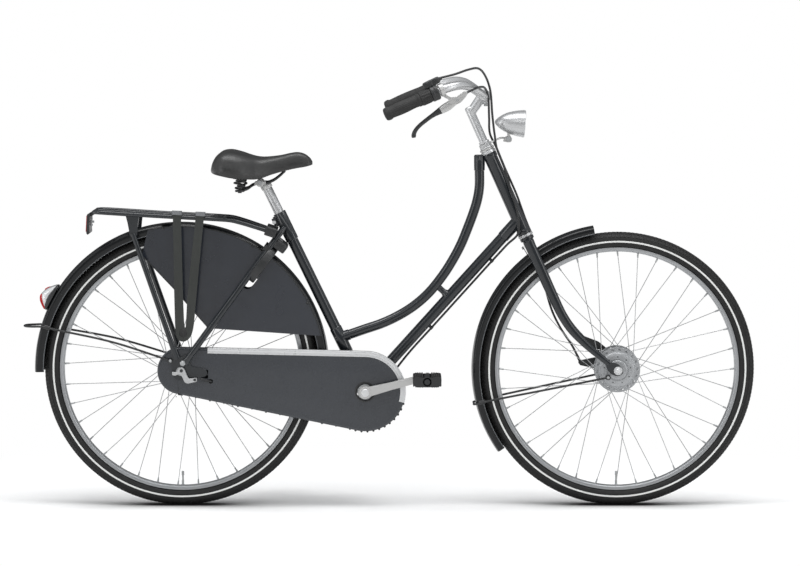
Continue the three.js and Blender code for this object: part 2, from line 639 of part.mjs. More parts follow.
wheel('rear', rearAxle, [
  [axleBore, -48], [driverRadius, -48], [driverRadius, -38], [24, -34], [37, -28], [37, -23], [29, -20],
  [29, 22], [37, 25], [37, 30], [20, 43], [axleBore, 43], [axleBore, -48],
], [-25.5, 27.5], lockAngle - 180 / spokeCount, 3, 32);

// Axles with their nuts; the rear one carries the gear bell crank and the coaster brake arm
const nutRadius = 9;
const rearNutLow = dropoutInner + dropoutThick + gap;
function nut(axle, side, low, thick) {
  return across(axle.x, axle.z, side * low, side * (low + thick), nutRadius, 6);
}
const bellCrank = plate([[-24, 360], [-20, 370], [-8, 371], [4, 371], [12, 362], [20, 352], [42, 350], [44,
  342], [36, 332],
  [20, 330], [4, 342], [-8, 352], [-20, 352]], -rearNutLow - 13, -rearNutLow - 7);
const coasterArm = plate([[-14, 352], [-8, 370], [8, 366], [30, 341], [60, 331], [158, 318], [158, 309], [56,
  320], [0, 345]], 45, 48);
add('rear_axle', join(across(0, tyreRadius, -rearNutLow - 12, rearNutLow + 14, axleRadius, 10),
  nut(rearAxle, -1, rearNutLow, 9), nut(rearAxle, 1, rearNutLow, 9), across(0, tyreRadius, 43 + gap, 50, 13,
    12),
  bellCrank, coasterArm), alloy);

// Fork: crown, two curved tapering blades with their ends, and the steerer
const bladeRoute = [[402, 0, 41, 14, 9.5], [330, 0, 41.5, 14, 9.5], [260, 0, 42.5, 13.5, 9.2], [190, 2, 44,
  12.5, 8.8], [145, 9.5, 46, 11.5, 8.2],
  [102, 24.5, 48.5, 10, 7.4], [72, 38, 50, 9, 6.8], [46, 51.3, 51.5, 8, 6], [24, 62, 52.5, 7, 4]];
const crownLow = 380;
const crownHigh = 404;
const crownHalf = 49;
function blade(side, grow = 0) {
  const rings = bladeRoute.map(([s, f, y, long, wide], i) => {
    const before = bladeRoute[Math.max(i - 1, 0)];
    const after = bladeRoute[Math.min(i + 1, bladeRoute.length - 1)];
    const way = head(after[0], after[1]).sub(head(before[0], before[1])).normalize();
    const longWay = V(-way.z, 0, way.x);
    return oval(head(s, f, side * y), wide + grow, V(0, 1, 0), long + grow, longWay, 8);
  });
  return loft(rings);
}
const forkEndOutline = [head(30, 52), head(28, 68), head(10, 85), head(-10, 85), head(-12, 68), head(8,
  52)].map((p) => [p.x, p.z]);
function forkEnd(side) {
  const low = side < 0 ? -frontHubWidth / 2 - dropoutThick : frontHubWidth / 2;
  return plate(forkEndOutline, low, low + dropoutThick, [disc(frontAxle.x, frontAxle.z, axleHole, 12)]);
}
const crown = loft([[crownLow, 13, 47], [crownLow + 6, 15, crownHalf], [crownHigh - 8, 15, crownHalf - 8],
  [crownHigh, 13, 24]].map(
  ([s, long, wide]) => oval(head(s), wide, V(0, 1, 0), long, headForward, 12)));
const steererTop = 677;
const quillRadius = 11.1;
const quillLow = 500;
const raceRadius = 18;
const crownRace = rod(head(crownHigh - 1), head(headTubeLow - cupHeight - gap), raceRadius, 12);
add('fork', cut(join(crown, blade(-1), blade(1), forkEnd(-1), forkEnd(1), crownRace,
  rod(head(crownHigh - 2), head(steererTop), steererRadius, 14)),
rod(head(quillLow - 3), head(steererTop + overrun), quillRadius + gap, 14)), paint);

const bracketLow = headTubeHigh + cupHeight + 2 + gap;
const bracketThick = 2.6;
const locknutLow = bracketLow + bracketThick + gap;
add('headset_locknut', turned(sleeve(cupBore, 17, 0, steererTop - locknutLow), 12, head(locknutLow), headUp),
  alloy);

// Stem: the quill stands in the steerer and its neck leans forward to the bar clamp
const barClamp = V(787, 0, 1068);
const clampRadius = 17;
const clampHalf = 20;
const barRadius = 11.1;
const barCoreRadius = 12.7;
// Handlebar: out from the stem, up and back to the grips
const gripEnd = V(535, barHalfWidth, 1031);
const gripWay = V(0.905, -0.15, 0.396).normalize();
const along = (d, side = 1) => {
  const p = gripEnd.clone().addScaledVector(gripWay, d);
  return V(p.x, side * p.y, p.z);
};
const barSweep = [[692, 262, 1097], [716, 244, 1102], [739, 214, 1099], [758, 170, 1088.5], [773, 115,
  1077.5], [783, 62, 1070.5]];
const halfBar = (side) => [along(0, side), along(40, side), along(80, side), along(120, side), along(148,
  side),
  ...barSweep.map(([x, y, z]) => V(x, side * y, z))];
const barRoute = [...halfBar(-1), barClamp.clone().add(V(0, -24, 0)), barClamp.clone().add(V(0, 24, 0)),
  ...halfBar(1).reverse()];
const bar = (radius) => pipe(barRoute, radius, 8, 30);
const handlebar = bar(barRadius);
add('handlebar', handlebar, alloy);
const barKeepOut = bar(barRadius + gap);

const stemQuill = rod(head(quillLow), head(772), quillRadius, 14);
const stemNeck = pipe([head(758), head(772, 2), head(788, 14), barClamp.clone().add(V(-6, 0, -3)), barClamp],
  13, 8, 5);
const clampBolt = rod(barClamp.clone().add(V(4, 0, -12)), barClamp.clone().add(V(4, 0, -26)), 6, 8);
add('stem', cut(join(stemQuill, stemNeck, across(barClamp.x, barClamp.z, -clampHalf, clampHalf, clampRadius,
  12), clampBolt,
  rod(head(steererTop + gap + 1), head(steererTop + 7), 14, 14)),
barKeepOut), alloy);

// Grips, twist shifter, shifter housing and brake lever on the bar ends
const gripRadius = 16.3;
const gripLength = 92;
const twistLow = gripLength + 2 * gap;
const twistLength = 29;
const housingLow = twistLow + twistLength + 2 * gap;
const housingLength = 20;
const leverLow = housingLow + housingLength + 4;
const leverClamp = 11;
function onBar(side, profile, sides = 10) {
  const way = V(gripWay.x, side * gripWay.y, gripWay.z);
  return turned(profile, sides, along(0, side), way);
}
const gripProfile = (length) => [[0, -5], [gripRadius - 5, -5], [gripRadius, -1], [gripRadius + 1, 6],
  [gripRadius - 1.2, 14], [gripRadius, length * 0.5],
  [gripRadius - 0.8, length - 8], [gripRadius + 0.8, length - 4], [gripRadius + 0.8, length], [0, length]];
add('right_grip', cut(onBar(-1, gripProfile(gripLength)), barKeepOut), rubber);
add('left_grip', cut(onBar(1, gripProfile(gripLength + twistLength)), barKeepOut), rubber);
add('twist_shifter', cut(onBar(-1, [[0, twistLow], [17.4, twistLow], [18.6, twistLow + 4], [18.6,
  twistLow + twistLength - 3],
  [17.4, twistLow + twistLength], [0, twistLow + twistLength]], 12), onBar(-1, [[0,
    twistLow - overrun], [barRadius + 4 * gap, twistLow - overrun],
  [barRadius + 4 * gap, twistLow + twistLength + overrun], [0,
    twistLow + twistLength + overrun]])), blackPlastic);
const cableBoxFrom = along(housingLow - 14, -1).add(V(-7, 0, 19));
const cableBoxTo = along(housingLow + 30, -1).add(V(-9, 0, 28));
const housing = join(onBar(-1, [[0, housingLow], [19.4, housingLow], [20, housingLow + 3], [20,
  housingLow + housingLength - 3],
  [18, housingLow + housingLength], [0,
    housingLow + housingLength]]), rod(cableBoxFrom, cableBoxTo, 8, 8, 6.5));
add('shifter_housing', cut(housing, barKeepOut, onBar(-1, [[0, twistLow - gap], [20.2, twistLow - gap],
  [20.2, twistLow + twistLength + gap], [0, twistLow + twistLength + gap]], 20)), blackPlastic);

const leverY = -268;
const leverPivot = V(712, leverY, 1066);
const ferrule = V(731, leverY + 4, 1081);
const clampMiddle = along(leverLow + leverClamp / 2, -1);
const leverHalf = 6;
const mountOutline = [[clampMiddle.x - 6, clampMiddle.z - 10], [clampMiddle.x + 16, clampMiddle.z - 20],
  [690, 1059], [706, 1055], [718, 1059],
  [734, 1076], [730, 1087], [722, 1082], [704, 1071], [690, 1073], [676, 1084], [clampMiddle.x + 4,
    clampMiddle.z + 4]];
const leverMount = join(onBar(-1, [[0, leverLow], [16.5, leverLow], [16.5, leverLow + leverClamp], [0,
  leverLow + leverClamp]]),
  plate(mountOutline, leverY - leverHalf, leverY + leverHalf));
const leverSlot = plate([[630, 1010], [706, 1010], [724, 1062], [722, 1070], [708, 1078], [692, 1075], [668,
  1066]], leverY - 4.2, leverY + 4.2);
const cableOut = V(21, 26, 12).normalize();
const barrel = rod(ferrule.clone().addScaledVector(cableOut, -5), ferrule.clone().addScaledVector(cableOut,
  8), 4.8, 8);
const barrelBore = rod(ferrule.clone().addScaledVector(cableOut, 2),
  ferrule.clone().addScaledVector(cableOut, 8 + overrun), cableRadius + 1.4 * gap, 8);
const pivotPin = across(leverPivot.x, leverPivot.z, leverY - leverHalf, leverY + leverHalf, 2.5, 10);
add('brake_lever_mount', join(cut(join(leverMount, barrel), barKeepOut, leverSlot, barrelBore), pivotPin),
  alloy);
const leverRoute = [[714, 1068, 7, 3.7], [700, 1062, 7.5, 3.7], [684, 1050, 7, 3.7], [666, 1040, 6.6, 5],
  [648, 1028, 6.4, 6], [630, 1012, 6, 6],
  [616, 996, 5.4, 5.6], [607, 982, 5.6, 5.6], [604, 974, 5.8, 5.8]];
const leverBlade = loft(leverRoute.map(([x, z, tall, wide], i) => {
  const before = leverRoute[Math.max(i - 1, 0)];
  const after = leverRoute[Math.min(i + 1, leverRoute.length - 1)];
  const way = V(after[0] - before[0], 0, after[1] - before[1]).normalize();
  return oval(V(x, leverY, z), wide, V(0, 1, 0), tall, V(-way.z, 0, way.x), 6);
}));
add('brake_lever', cut(leverBlade, across(leverPivot.x, leverPivot.z, leverY - overrun, leverY + overrun,
  2.5 + gap, 10)), blackPlastic);

// Headlight on its bracket
const lampPivot = V(850.3, 0, 957);
const lampRadius = 34.5;
const lampLength = 78;
const lampBack = V(814, 0, 1001);
const lampWay = V(Math.cos(0.07), 0, -Math.sin(0.07));
const lampShare = [[0, 0], [0.12, 0.36], [0.3, 0.62], [0.52, 0.82], [0.76, 0.95], [1, 1]];
const lampOuter = lampShare.map(([h, r]) => [r * lampRadius, h * lampLength]);
const lampWall = 1.6;
const lampInner = [[lampRadius - lampWall, lampLength], [lampRadius * 0.94 - lampWall, lampLength * 0.74],
  [lampRadius * 0.78 - lampWall, lampLength * 0.5],
  [0, lampLength * 0.36]];
const lampLug = rod(V(lampPivot.x, 0, lampPivot.z), V(lampPivot.x, 0, lampPivot.z + 16), 3.4, 8);
const lugEye = across(lampPivot.x, lampPivot.z, -3.6, 3.6, 6, 10);
const lampShell = cut(turned([...lampOuter, ...lampInner], 18, lampBack, lampWay));
add('headlight_shell', cut(join(lampShell, lampLug, lugEye),
  across(lampPivot.x, lampPivot.z, -overrun, overrun, 2.2 + gap, 10),
  turned([[0, lampLength * 0.36], [lampRadius * 0.78 - lampWall, lampLength * 0.5], [lampRadius - lampWall,
    lampLength],
    [0, lampLength]], 18, lampBack, lampWay)), chrome);
add('headlight_lens', turned([[0, lampLength - 4], [lampRadius - lampWall - gap - 0.4, lampLength - 4],
  [lampRadius - lampWall - gap - 0.2, lampLength - 1],
  [lampRadius * 0.6, lampLength + 1.2], [0, lampLength + 2]], 18, lampBack, lampWay), clearLens);
const bracketRing = turned(sleeve(cupBore, 20, 0, bracketThick), 12, head(bracketLow), headUp);
const armStart = head(bracketLow + bracketThick / 2, 17);
const bracketArm = plate([[armStart.x, armStart.z - 1.4], [826, 943], [842, 952], [842, 962], [824, 947],
  [armStart.x, armStart.z + 1.4]], -7, 7);
const bracketEar = (side) => plate([[834, 948], [850, 949], [857, 957], [850, 965], [840, 962]],
  side < 0 ? -7 : 4, side < 0 ? -4 : 7);
add('headlight_bracket', cut(join(bracketRing, bracketArm, bracketEar(-1), bracketEar(1),
  across(lampPivot.x, lampPivot.z, -8.5, 8.5, 2.2, 10)),
turned([[0, -9], [cupBore, -9], [cupBore, 9], [0, 9]], 12, head(bracketLow), headUp)), alloy);

// Fenders with their wire stays
const fenderWall = 1.6;
function fenderSection(half, outer, skirt) {
  const outside = [[half, outer - skirt], [half, outer - 8], [half * 0.62, outer - 1.2]];
  const inside = [[half * 0.62 - 0.6, outer - 1.2 - fenderWall], [half - fenderWall, outer - 8 - 0.6],
    [half - fenderWall, outer - skirt]];
  const mirror = (list) => list.map(([y, r]) => [-y, r]).reverse();
  return [...outside, ...mirror(outside), ...mirror(inside), ...inside];
}
const frontFenderOuter = 379.5;
const frontFenderHalf = 28;
const fenderSkirt = 17;
const frontFenderFrom = 99.7;
const frontFenderTo = 215;
const fenderTab = rod(head(crownLow - 15, -16.4), head(crownLow + 12, -18.1), 3, 8);
const frontFender = hoop(frontAxle.x, frontAxle.z, fenderSection(frontFenderHalf, frontFenderOuter,
  fenderSkirt), frontFenderFrom, frontFenderTo, 16);
add('front_fender', join(frontFender, fenderTab), fenderPaint);
const wireRadius = 2.3;
const polar = (axle, radius, angle, y) => {
  const turn = THREE.MathUtils.degToRad(angle);
  return V(axle.x + radius * Math.cos(turn), y, axle.z + radius * Math.sin(turn));
};
function wireLoop(axle, foot, half, outer, angle, reach, apart) {
  const corner = outer + reach;
  const bend = outer + Math.max(reach - half * 0.6, -3);
  const clear = half + wireRadius + apart;
  const halfRoute = (side) => [V(axle.x + foot[0], side * foot[1], axle.z + foot[2]),
    polar(axle, 190, angle, side * (foot[1] * 0.5 + half * 0.5 + 4)),
    polar(axle, outer - 40, angle, side * clear), polar(axle, bend, angle, side * clear),
    polar(axle, corner, angle, side * (half - 2)), polar(axle, corner, angle, side * half * 0.5)];
  return pipe([...halfRoute(-1), ...halfRoute(1).reverse()], wireRadius, 5, 26);
}
const frontStayFoot = [-26, 57, -17];
add('front_fender_stay', wireLoop(frontAxle, frontStayFoot, frontFenderHalf, frontFenderOuter, 193.7,
  wireRadius + 2, 2.4), blackPlastic);
const rearFenderOuter = 384;
const rearFenderHalf = 28.5;
add('rear_fender', hoop(0, tyreRadius, fenderSection(rearFenderHalf, rearFenderOuter, fenderSkirt + 1), 3.5,
  181, 25), fenderPaint);
const rearStayFoot = [-26, 67, 14];
add('rear_fender_stay', wireLoop(rearAxle, rearStayFoot, rearFenderHalf, rearFenderOuter, 164.6, 41,
  2 * gap), blackPlastic);

// Rear lamp and reflector
const lampAngle = 151;
const lampBase = (low, high, wide, tall) => {
  const tangent = THREE.MathUtils.degToRad(lampAngle);
  const outward = V(Math.cos(tangent), 0, Math.sin(tangent));
  const upward = V(Math.sin(tangent), 0, -Math.cos(tangent));
  return loft([low, (low + high) / 2, high].map((r, i) => oval(rearAxle.clone().addScaledVector(outward, r),
    wide * (1 - 0.12 * i), V(0, 1, 0),
    tall * (1 - 0.1 * i), upward, 12)));
};
add('rear_lamp', lampBase(rearFenderOuter - 1.2 + gap, rearFenderOuter + 13, 27, 27), blackPlastic);
add('rear_lamp_lens', lampBase(rearFenderOuter + 13 + gap, rearFenderOuter + 25, 22, 21), redLens);

// Luggage carrier: four rails, flat cross strips, two legs and a front yoke on the seat stays
const railHalf = 64;
const railRadius = 5.5;
const innerRail = 22;
const railHeight = (x) => 758 - 0.055 * x;
const rackBack = -222;
const rackBend = 112;
const yoke = V(220.7, 0, 725.4);
const stripWide = 30;
const stripThick = 3;
const stripPlaces = [-150, -40, 70];
const outerRail = (side) => pipe([V(rackBack, side * (railHalf - 14), railHeight(rackBack)), V(rackBack + 14,
  side * railHalf, railHeight(rackBack)),
  V(-60, side * railHalf, railHeight(-60)), V(rackBend, side * (railHalf - 2), railHeight(rackBend)),
  V(158, side * 52, 745), yoke.clone().add(V(-12, side * 40, 6)), yoke.clone().add(V(0, side * 30,
    0))], railRadius, 6, 10);
const innerRailTube = (side) => rod(V(rackBack, side * innerRail, railHeight(rackBack)), V(rackBend,
  side * innerRail, railHeight(rackBend)), railRadius * 0.7, 4);
const crossStrip = (x) => plate([[x - stripWide / 2, railHeight(x) - stripThick / 2], [x + stripWide / 2,
  railHeight(x) - stripThick / 2],
  [x + stripWide / 2, railHeight(x) + stripThick / 2], [x - stripWide / 2,
    railHeight(x) + stripThick / 2]], -railHalf, railHalf);
const legRadius = 7;
const legTop = V(-121, 0, 716);
const legFoot = V(-8, 0, 390);
const legY = 72.2;
const rackLeg = (side) => pipe([V(legTop.x, side * (railHalf + 1), legTop.z), V(-90, side * (railHalf + 3),
  627), V(-60, side * 69, 540), V(legFoot.x, side * legY, legFoot.z)],
  legRadius, 6, 4);
const legPlate = (side) => plate([[-140, 766], [-104, 764], [-110, 712], [-128, 708]],
  side < 0 ? -railHalf - 2.5 : railHalf - 2.5,
  side < 0 ? -railHalf + 2.5 : railHalf + 2.5);
const rackFrontBar = across(rackBend, railHeight(rackBend), -railHalf, railHalf, railRadius * 0.8, 5);
add('rack', join(outerRail(-1), outerRail(1), innerRailTube(-1), innerRailTube(1),
  ...stripPlaces.map(crossStrip), rackFrontBar,
  across(rackBack, railHeight(rackBack), -railHalf + 10, railHalf - 10, railRadius, 6), across(yoke.x,
    yoke.z, -46, 46, railRadius, 6),
  ...sides2.flatMap((side) => [rackLeg(side), legPlate(side)])), paint);
const reflectorTop = railHeight(rackBack) - 2;
add('rear_reflector', plate([[rackBack - 14, reflectorTop], [rackBack - railRadius + 0.4, reflectorTop + 4],
  [rackBack - railRadius + 0.4, reflectorTop - 50],
  [rackBack - 12, reflectorTop - 54], [rackBack - 18, reflectorTop - 48]], -38, 38), blackPlastic);

// Elastic straps down the right side
const strapInner = railHalf + railRadius + 0.9;
const strapOutline = [[-17, 769], [4, 768], [8.5, 545], [11, 470], [15, 470], [18.5, 545], [42.6, 766], [64,
  765], [36, 482],
  [30, 455], [20, 441], [7, 436], [-5, 441], [-11, 455], [-13, 482]];
add('rack_straps', join(plate(strapOutline, -strapInner - 3, -strapInner), across(8, 459, -strapInner - 6,
  -strapInner, 11, 16),
  plate([[-19, 769], [6, 768], [6, 775], [-19, 776]], -strapInner - 4.5, -strapInner),
  plate([[42, 766], [67, 765], [67, 772], [42, 773]], -strapInner - 4.5, -strapInner)), strapRubber);

// Coat guards with the slot that the lock passes through
const lockRing = 57;
const lockCentre = 343;
const lockWay = V(Math.cos(THREE.MathUtils.degToRad(lockAngle)), 0,
  Math.sin(THREE.MathUtils.degToRad(lockAngle)));
const lockTangent = V(-lockWay.z, 0, lockWay.x);
const guardOutline = [...arc(0, tyreRadius, 376, 13.6, 103, 16), [-101, 655.4], [-21, 571.7], [70.2, 466],
  [78, 466]];
const slotMiddle = [rearAxle.clone().addScaledVector(lockWay, 284), rearAxle.clone().addScaledVector(lockWay,
  306)];
const slotHoles = [...arc(slotMiddle[1].x, slotMiddle[1].z, 15, lockAngle - 90, lockAngle + 90, 6),
  ...arc(slotMiddle[0].x, slotMiddle[0].z, 15, lockAngle + 90, lockAngle + 270, 6)];
sides2.forEach((side) => {
  const inner = rearFenderHalf + gap + 0.4;
  add(`coat_guard_${sideName(side)}`, plate(guardOutline, side < 0 ? -inner - 1.2 : inner,
    side < 0 ? -inner : inner + 1.2, [slotHoles]), guardVinyl);
});

// Ring lock: a C-shaped housing with a channel, and the shackle that turns in it
const lockHalf = 11.3;
const shackleRadius = 4.2;
const channelRadius = 5.8;
const housingInner = 49;
const housingOuter = 65;
const jaw = 42;
const lockPlace = new THREE.Matrix4().makeBasis(V(0, -1, 0), lockWay, V(0, -1, 0).cross(lockWay))
  .setPosition(rearAxle.clone().addScaledVector(lockWay, lockCentre));
function inLock(body) {
  return body.transform(lockPlace.elements);
}
// Arcs of the lock are drawn with x to the right side and y outward from the hub
function lockArc(inner, outer, from, to, steps) {
  const outlinePoints = [...arc(0, 0, outer, from, to, steps), ...arc(0, 0, inner, to, from, steps)];
  const geometry = new THREE.ExtrudeGeometry(new THREE.Shape(outlinePoints.map(([x,
    y]) => new THREE.Vector2(x, y))),
    { depth: 2 * lockHalf, bevelEnabled: false, steps: 1 });
  geometry.translate(0, 0, -lockHalf);
  return solid(geometry);
}
function lockTorus(radius, from, to, steps, sides) {
  class Turn extends THREE.Curve {
    getPoint(t, target = V()) {
      const turn = THREE.MathUtils.degToRad(from + (to - from) * t);
      return target.set(lockRing * Math.cos(turn), lockRing * Math.sin(turn), 0);
    }
  }
  const section = disc(0, 0, radius, sides).map(([x, y]) => new THREE.Vector2(x, y));
  return solid(new THREE.ExtrudeGeometry(new THREE.Shape(section), { steps, extrudePath: new Turn(),
    bevelEnabled: false }));
}
const housingTop = new THREE.BoxGeometry(84, 26, 2 * lockHalf);
housingTop.translate(0, 70, 0);
const padReach = 12.6;
const lockPad = (side) => {
  const box = new THREE.BoxGeometry(12, 14, padReach + 1);
  box.translate(side * 41.5, 45, lockHalf - 1 + (padReach + 1) / 2);
  return solid(box);
};
const lockBody = cut(join(lockArc(housingInner, housingOuter, -90 + jaw, 270 - jaw, 16), solid(housingTop),
  lockPad(-1), lockPad(1)),
  rod(V(0, 0, -lockHalf - overrun), V(0, 0, lockHalf + overrun), housingInner, 18), lockTorus(channelRadius,
    -90 + jaw - 20, 270 - jaw + 20, 20, 6));
add('lock_body', inLock(lockBody), blackPlastic);
const shackleStart = -90 + jaw + 4;
add('lock_shackle', inLock(lockTorus(shackleRadius, shackleStart, shackleStart + 150, 14, 6)), darkSteel);

// Roller brake on the left of the front hub with its reaction arm
const brakeLow = 25.5;
const brakeHigh = 43;
const cableLever = plate([[frontAxle.x - 10, 350], [frontAxle.x - 93, 362], [frontAxle.x - 98, 374],
  [frontAxle.x - 10, 378]], brakeHigh - 5, brakeHigh);
const reactionArm = plate([[frontAxle.x - 20, 372], [frontAxle.x - 92, 428], [frontAxle.x - 86, 440],
  [frontAxle.x - 10, 396]], brakeHigh - 5, brakeHigh);
add('roller_brake', cut(join(turned([[axleBore, brakeLow], [50, brakeLow], [50, brakeHigh - 8], [40,
  brakeHigh], [axleBore, brakeHigh], [axleBore, brakeLow]], 20, frontAxle),
  cableLever, reactionArm), blade(1, 2 * gap)), blackPlastic);
const frontNutLow = frontHubWidth / 2 + dropoutThick + gap;
add('front_axle', join(across(frontAxle.x, frontAxle.z, -frontNutLow - 12, frontNutLow + 12, axleRadius, 10),
  nut(frontAxle, -1, frontNutLow, 8), nut(frontAxle, 1, frontNutLow, 8)), alloy);

// Brake cable from the lever, down the head tube and the left blade to the roller brake
const brakeCableRoute = [ferrule.clone().addScaledVector(cableOut, 2 + gap),
  ferrule.clone().addScaledVector(cableOut, 12), V(752, -238, 1093), V(771, -175, 1101), V(787, -105, 1095),
  V(800, -48, 1066), V(803, -6, 1015), V(807, 12, 970),
  head(655, 24, 14), head(600, 22.5, 14), head(520, 22.5, 14), head(450, 24, 16), head(412, 23,
    34), head(385, 18, 54), head(340, 4, 55.5),
  head(270, -8, 55), head(200, -17, 52), head(150, -15, 49), head(95, -6, 47), V(frontAxle.x - 93, 46, 371)];
add('brake_cable', pipe(brakeCableRoute, cableRadius, 5, 42), blackPlastic);

// Gear cable from the shifter over the head and along the down tube to the rear hub
const loopRoute = [cableBoxTo.clone().add(V(1.5, 0, 0.9)), V(705, -258, 1136), V(740, -228, 1148), V(769,
  -180, 1151), V(792, -122, 1131), V(812, -74, 1088),
  V(817, -42, 1024), V(818.4, -31.5, 990)];
add('shift_cable_loop', pipe(loopRoute, cableRadius, 5, 22), blackPlastic);
const gearCableRoute = [V(818.4, -31.4, 989.2), V(819, -24, 965), head(655, 24, -15), head(600, 21, -15),
  head(540, 13, -21), head(470, 2, -23.5), head(430, -16, -22),
  down(530, 20, -13), down(500, cableDrop, -3), down(470, cableDrop), down(400, cableDrop), down(300,
    cableDrop), down(235, cableDrop), down(150, cableDrop),
  down(90, 24, -2), V(505, -8, 290), V(478, -14, 277.5), V(440, -21, 285), V(380, -25.5, 293), V(300, -26.4,
    303), V(200, -26, 317),
  V(135, -25.8, 327), V(114, -26.6, 330), V(104, -31, 331), V(94, -38, 331), V(84, -46, 331), V(80, -54,
    331), V(78, -61, 331),
  V(69, -68, 334), V(50, -72, 340)];
add('shift_cable', pipe(gearCableRoute, cableRadius, 5, 48), blackPlastic);

// Seat post, clamp, saddle wire work with its springs, and the cover
const postRadius = 12.6;
const postTop = 592;
add('seat_post', rod(seat(seatTubeLength - postDepth), seat(postTop), postRadius, 12), chrome);
const clampAt = V(206, 0, 842);
const clampKeepOut = rod(seat(postTop - 40), seat(postTop + gap), postRadius + gap, 12);
const railWireRadius = 3.5;
const railY = 21;
const springMeanRadius = 14;
const springWire = 2.5;
const springCurls = 3;
const springFoot = [148, 52, 819];
const springTall = 45.6;
const railRoute = (side) => [V(springFoot[0], side * springFoot[1], springFoot[2]), V(168, side * 42, 826),
  V(186, side * railY, 840),
  V(206, side * railY, 846), V(230, side * railY, 850), V(256, side * 15, 862), V(272, side * 4, 873.2)];
const rails = sides2.map((side) => pipe(railRoute(side), railWireRadius, 5, 9));
const railsKeepOut = sides2.map((side) => pipe(railRoute(side), railWireRadius + gap, 5, 9));
const saddleClamp = join(across(clampAt.x, clampAt.z + 3, -32, 32, 11, 10), rod(seat(postTop - 26),
  seat(postTop + 4), 16.5, 12));
add('saddle_clamp', cut(saddleClamp, clampKeepOut, ...railsKeepOut), alloy);

// A coil spring as one tube: eight steps to a curl, five sides
function springPath(side, t) {
  const turn = 2 * Math.PI * springCurls * t;
  return V(springFoot[0] + springMeanRadius * Math.cos(turn),
    side * springFoot[1] + springMeanRadius * Math.sin(turn), springFoot[2] + springTall * t);
}
function spring(side) {
  class Coil extends THREE.Curve {
    getPoint(t) {
      return springPath(side, t);
    }
  }
  const section = disc(0, 0, springWire, 5).map(([x, y]) => new THREE.Vector2(x, y));
  return solid(new THREE.ExtrudeGeometry(new THREE.Shape(section), { steps: 8 * springCurls,
    extrudePath: new Coil(), bevelEnabled: false }));
}
let leastSpringGap = Infinity;
const springSamples = 64 * springCurls;
for (let i = 0; i <= springSamples; i += 1) {
  for (let j = i + 32; j <= springSamples; j += 1) {
    const apart = springPath(1, i / springSamples).distanceTo(springPath(1, j / springSamples));
    leastSpringGap = Math.min(leastSpringGap, apart - 2 * springWire);
  }
}
console.log(`Saddle spring: least gap to itself ${leastSpringGap.toFixed(2)} mm`);
const springBase = (side, z) => across(0, 0, -springWire, springWire, springMeanRadius + springWire, 6)
  .rotate([90, 0, 0]).translate([springFoot[0], side * springFoot[1], z]);
const rearBar = rod(V(springFoot[0], -springFoot[1], springFoot[2] + springTall), V(springFoot[0],
  springFoot[1], springFoot[2] + springTall), 4, 8);
add('saddle_frame', join(rails[0], rails[1], ...sides2.flatMap((side) => [spring(side), springBase(side,
  springFoot[2] - 1),
  springBase(side, springFoot[2] + springTall)]), rearBar, across(272, 873.2, -7, 7, railWireRadius, 8)), darkSteel);

// Saddle cover: rings from the back edge to the nose; x, half width, top, skirt
const saddleRings = [[80, 46, 879, 871], [84, 66, 900, 867], [94, 86, 920, 866], [110, 98, 931, 866], [130,
  101, 933, 867], [155, 95, 928, 868], [180, 80, 920, 869],
  [205, 62, 914, 871], [232, 47, 912, 873.5], [260, 37, 915, 876.5], [285, 32, 920, 878], [305, 29, 921,
    879], [322, 26, 915, 880],
  [335, 21, 905, 882], [341, 12, 897, 885]];
const saddleShare = [[-1, 0], [-1.02, 0.28], [-0.97, 0.62], [-0.82, 0.87], [-0.55, 0.98], [-0.25, 0.985], [0,
  0.96], [0.25, 0.985], [0.55, 0.98], [0.82, 0.87],
  [0.97, 0.62], [1.02, 0.28], [1, 0], [0.5, 0.02], [0, 0.03], [-0.5, 0.02]];
add('saddle_cover', loft(saddleRings.map(([x, half, top, skirt]) =>
  saddleShare.map(([y, z]) => V(x, y * half, skirt + z * (top - skirt))))), saddleVinyl);

// Stand the bike with its origin on the ground under the middle of its box
bike.updateMatrixWorld(true);
const box = new THREE.Box3().setFromObject(bike);
bike.position.set(-(box.min.x + box.max.x) / 2, -(box.min.y + box.max.y) / 2, -box.min.z);
bike.updateMatrixWorld(true);

export default bike;
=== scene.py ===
# %% [markdown]
# # A Dutch city bicycle
# The bicycle has a low curved top tube, a full chain case and two big laced wheels.
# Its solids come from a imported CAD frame. Here each visible piece gets its finished
# shape and its finish, and is told which moving body it rides on.

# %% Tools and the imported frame
import math

import bmesh
import bpy
import numpy as np
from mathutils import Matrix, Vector, geometry


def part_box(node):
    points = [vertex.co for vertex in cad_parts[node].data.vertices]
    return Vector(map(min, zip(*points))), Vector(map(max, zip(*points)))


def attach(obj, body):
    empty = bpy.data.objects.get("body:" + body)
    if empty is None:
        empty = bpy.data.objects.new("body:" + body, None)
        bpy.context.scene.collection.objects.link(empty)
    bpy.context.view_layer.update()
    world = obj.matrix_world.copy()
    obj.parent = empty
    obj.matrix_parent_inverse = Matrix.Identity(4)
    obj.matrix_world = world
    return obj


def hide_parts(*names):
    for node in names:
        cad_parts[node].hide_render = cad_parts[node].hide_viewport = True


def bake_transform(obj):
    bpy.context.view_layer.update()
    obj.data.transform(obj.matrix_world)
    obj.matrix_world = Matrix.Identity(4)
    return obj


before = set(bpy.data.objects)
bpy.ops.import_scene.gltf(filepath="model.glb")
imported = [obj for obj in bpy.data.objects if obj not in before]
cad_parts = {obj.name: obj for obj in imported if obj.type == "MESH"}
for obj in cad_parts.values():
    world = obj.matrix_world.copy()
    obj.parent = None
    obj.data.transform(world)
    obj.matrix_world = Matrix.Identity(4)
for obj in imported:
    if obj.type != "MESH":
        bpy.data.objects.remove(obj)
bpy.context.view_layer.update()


def add_to_scene(obj):
    bpy.context.scene.collection.objects.link(obj)


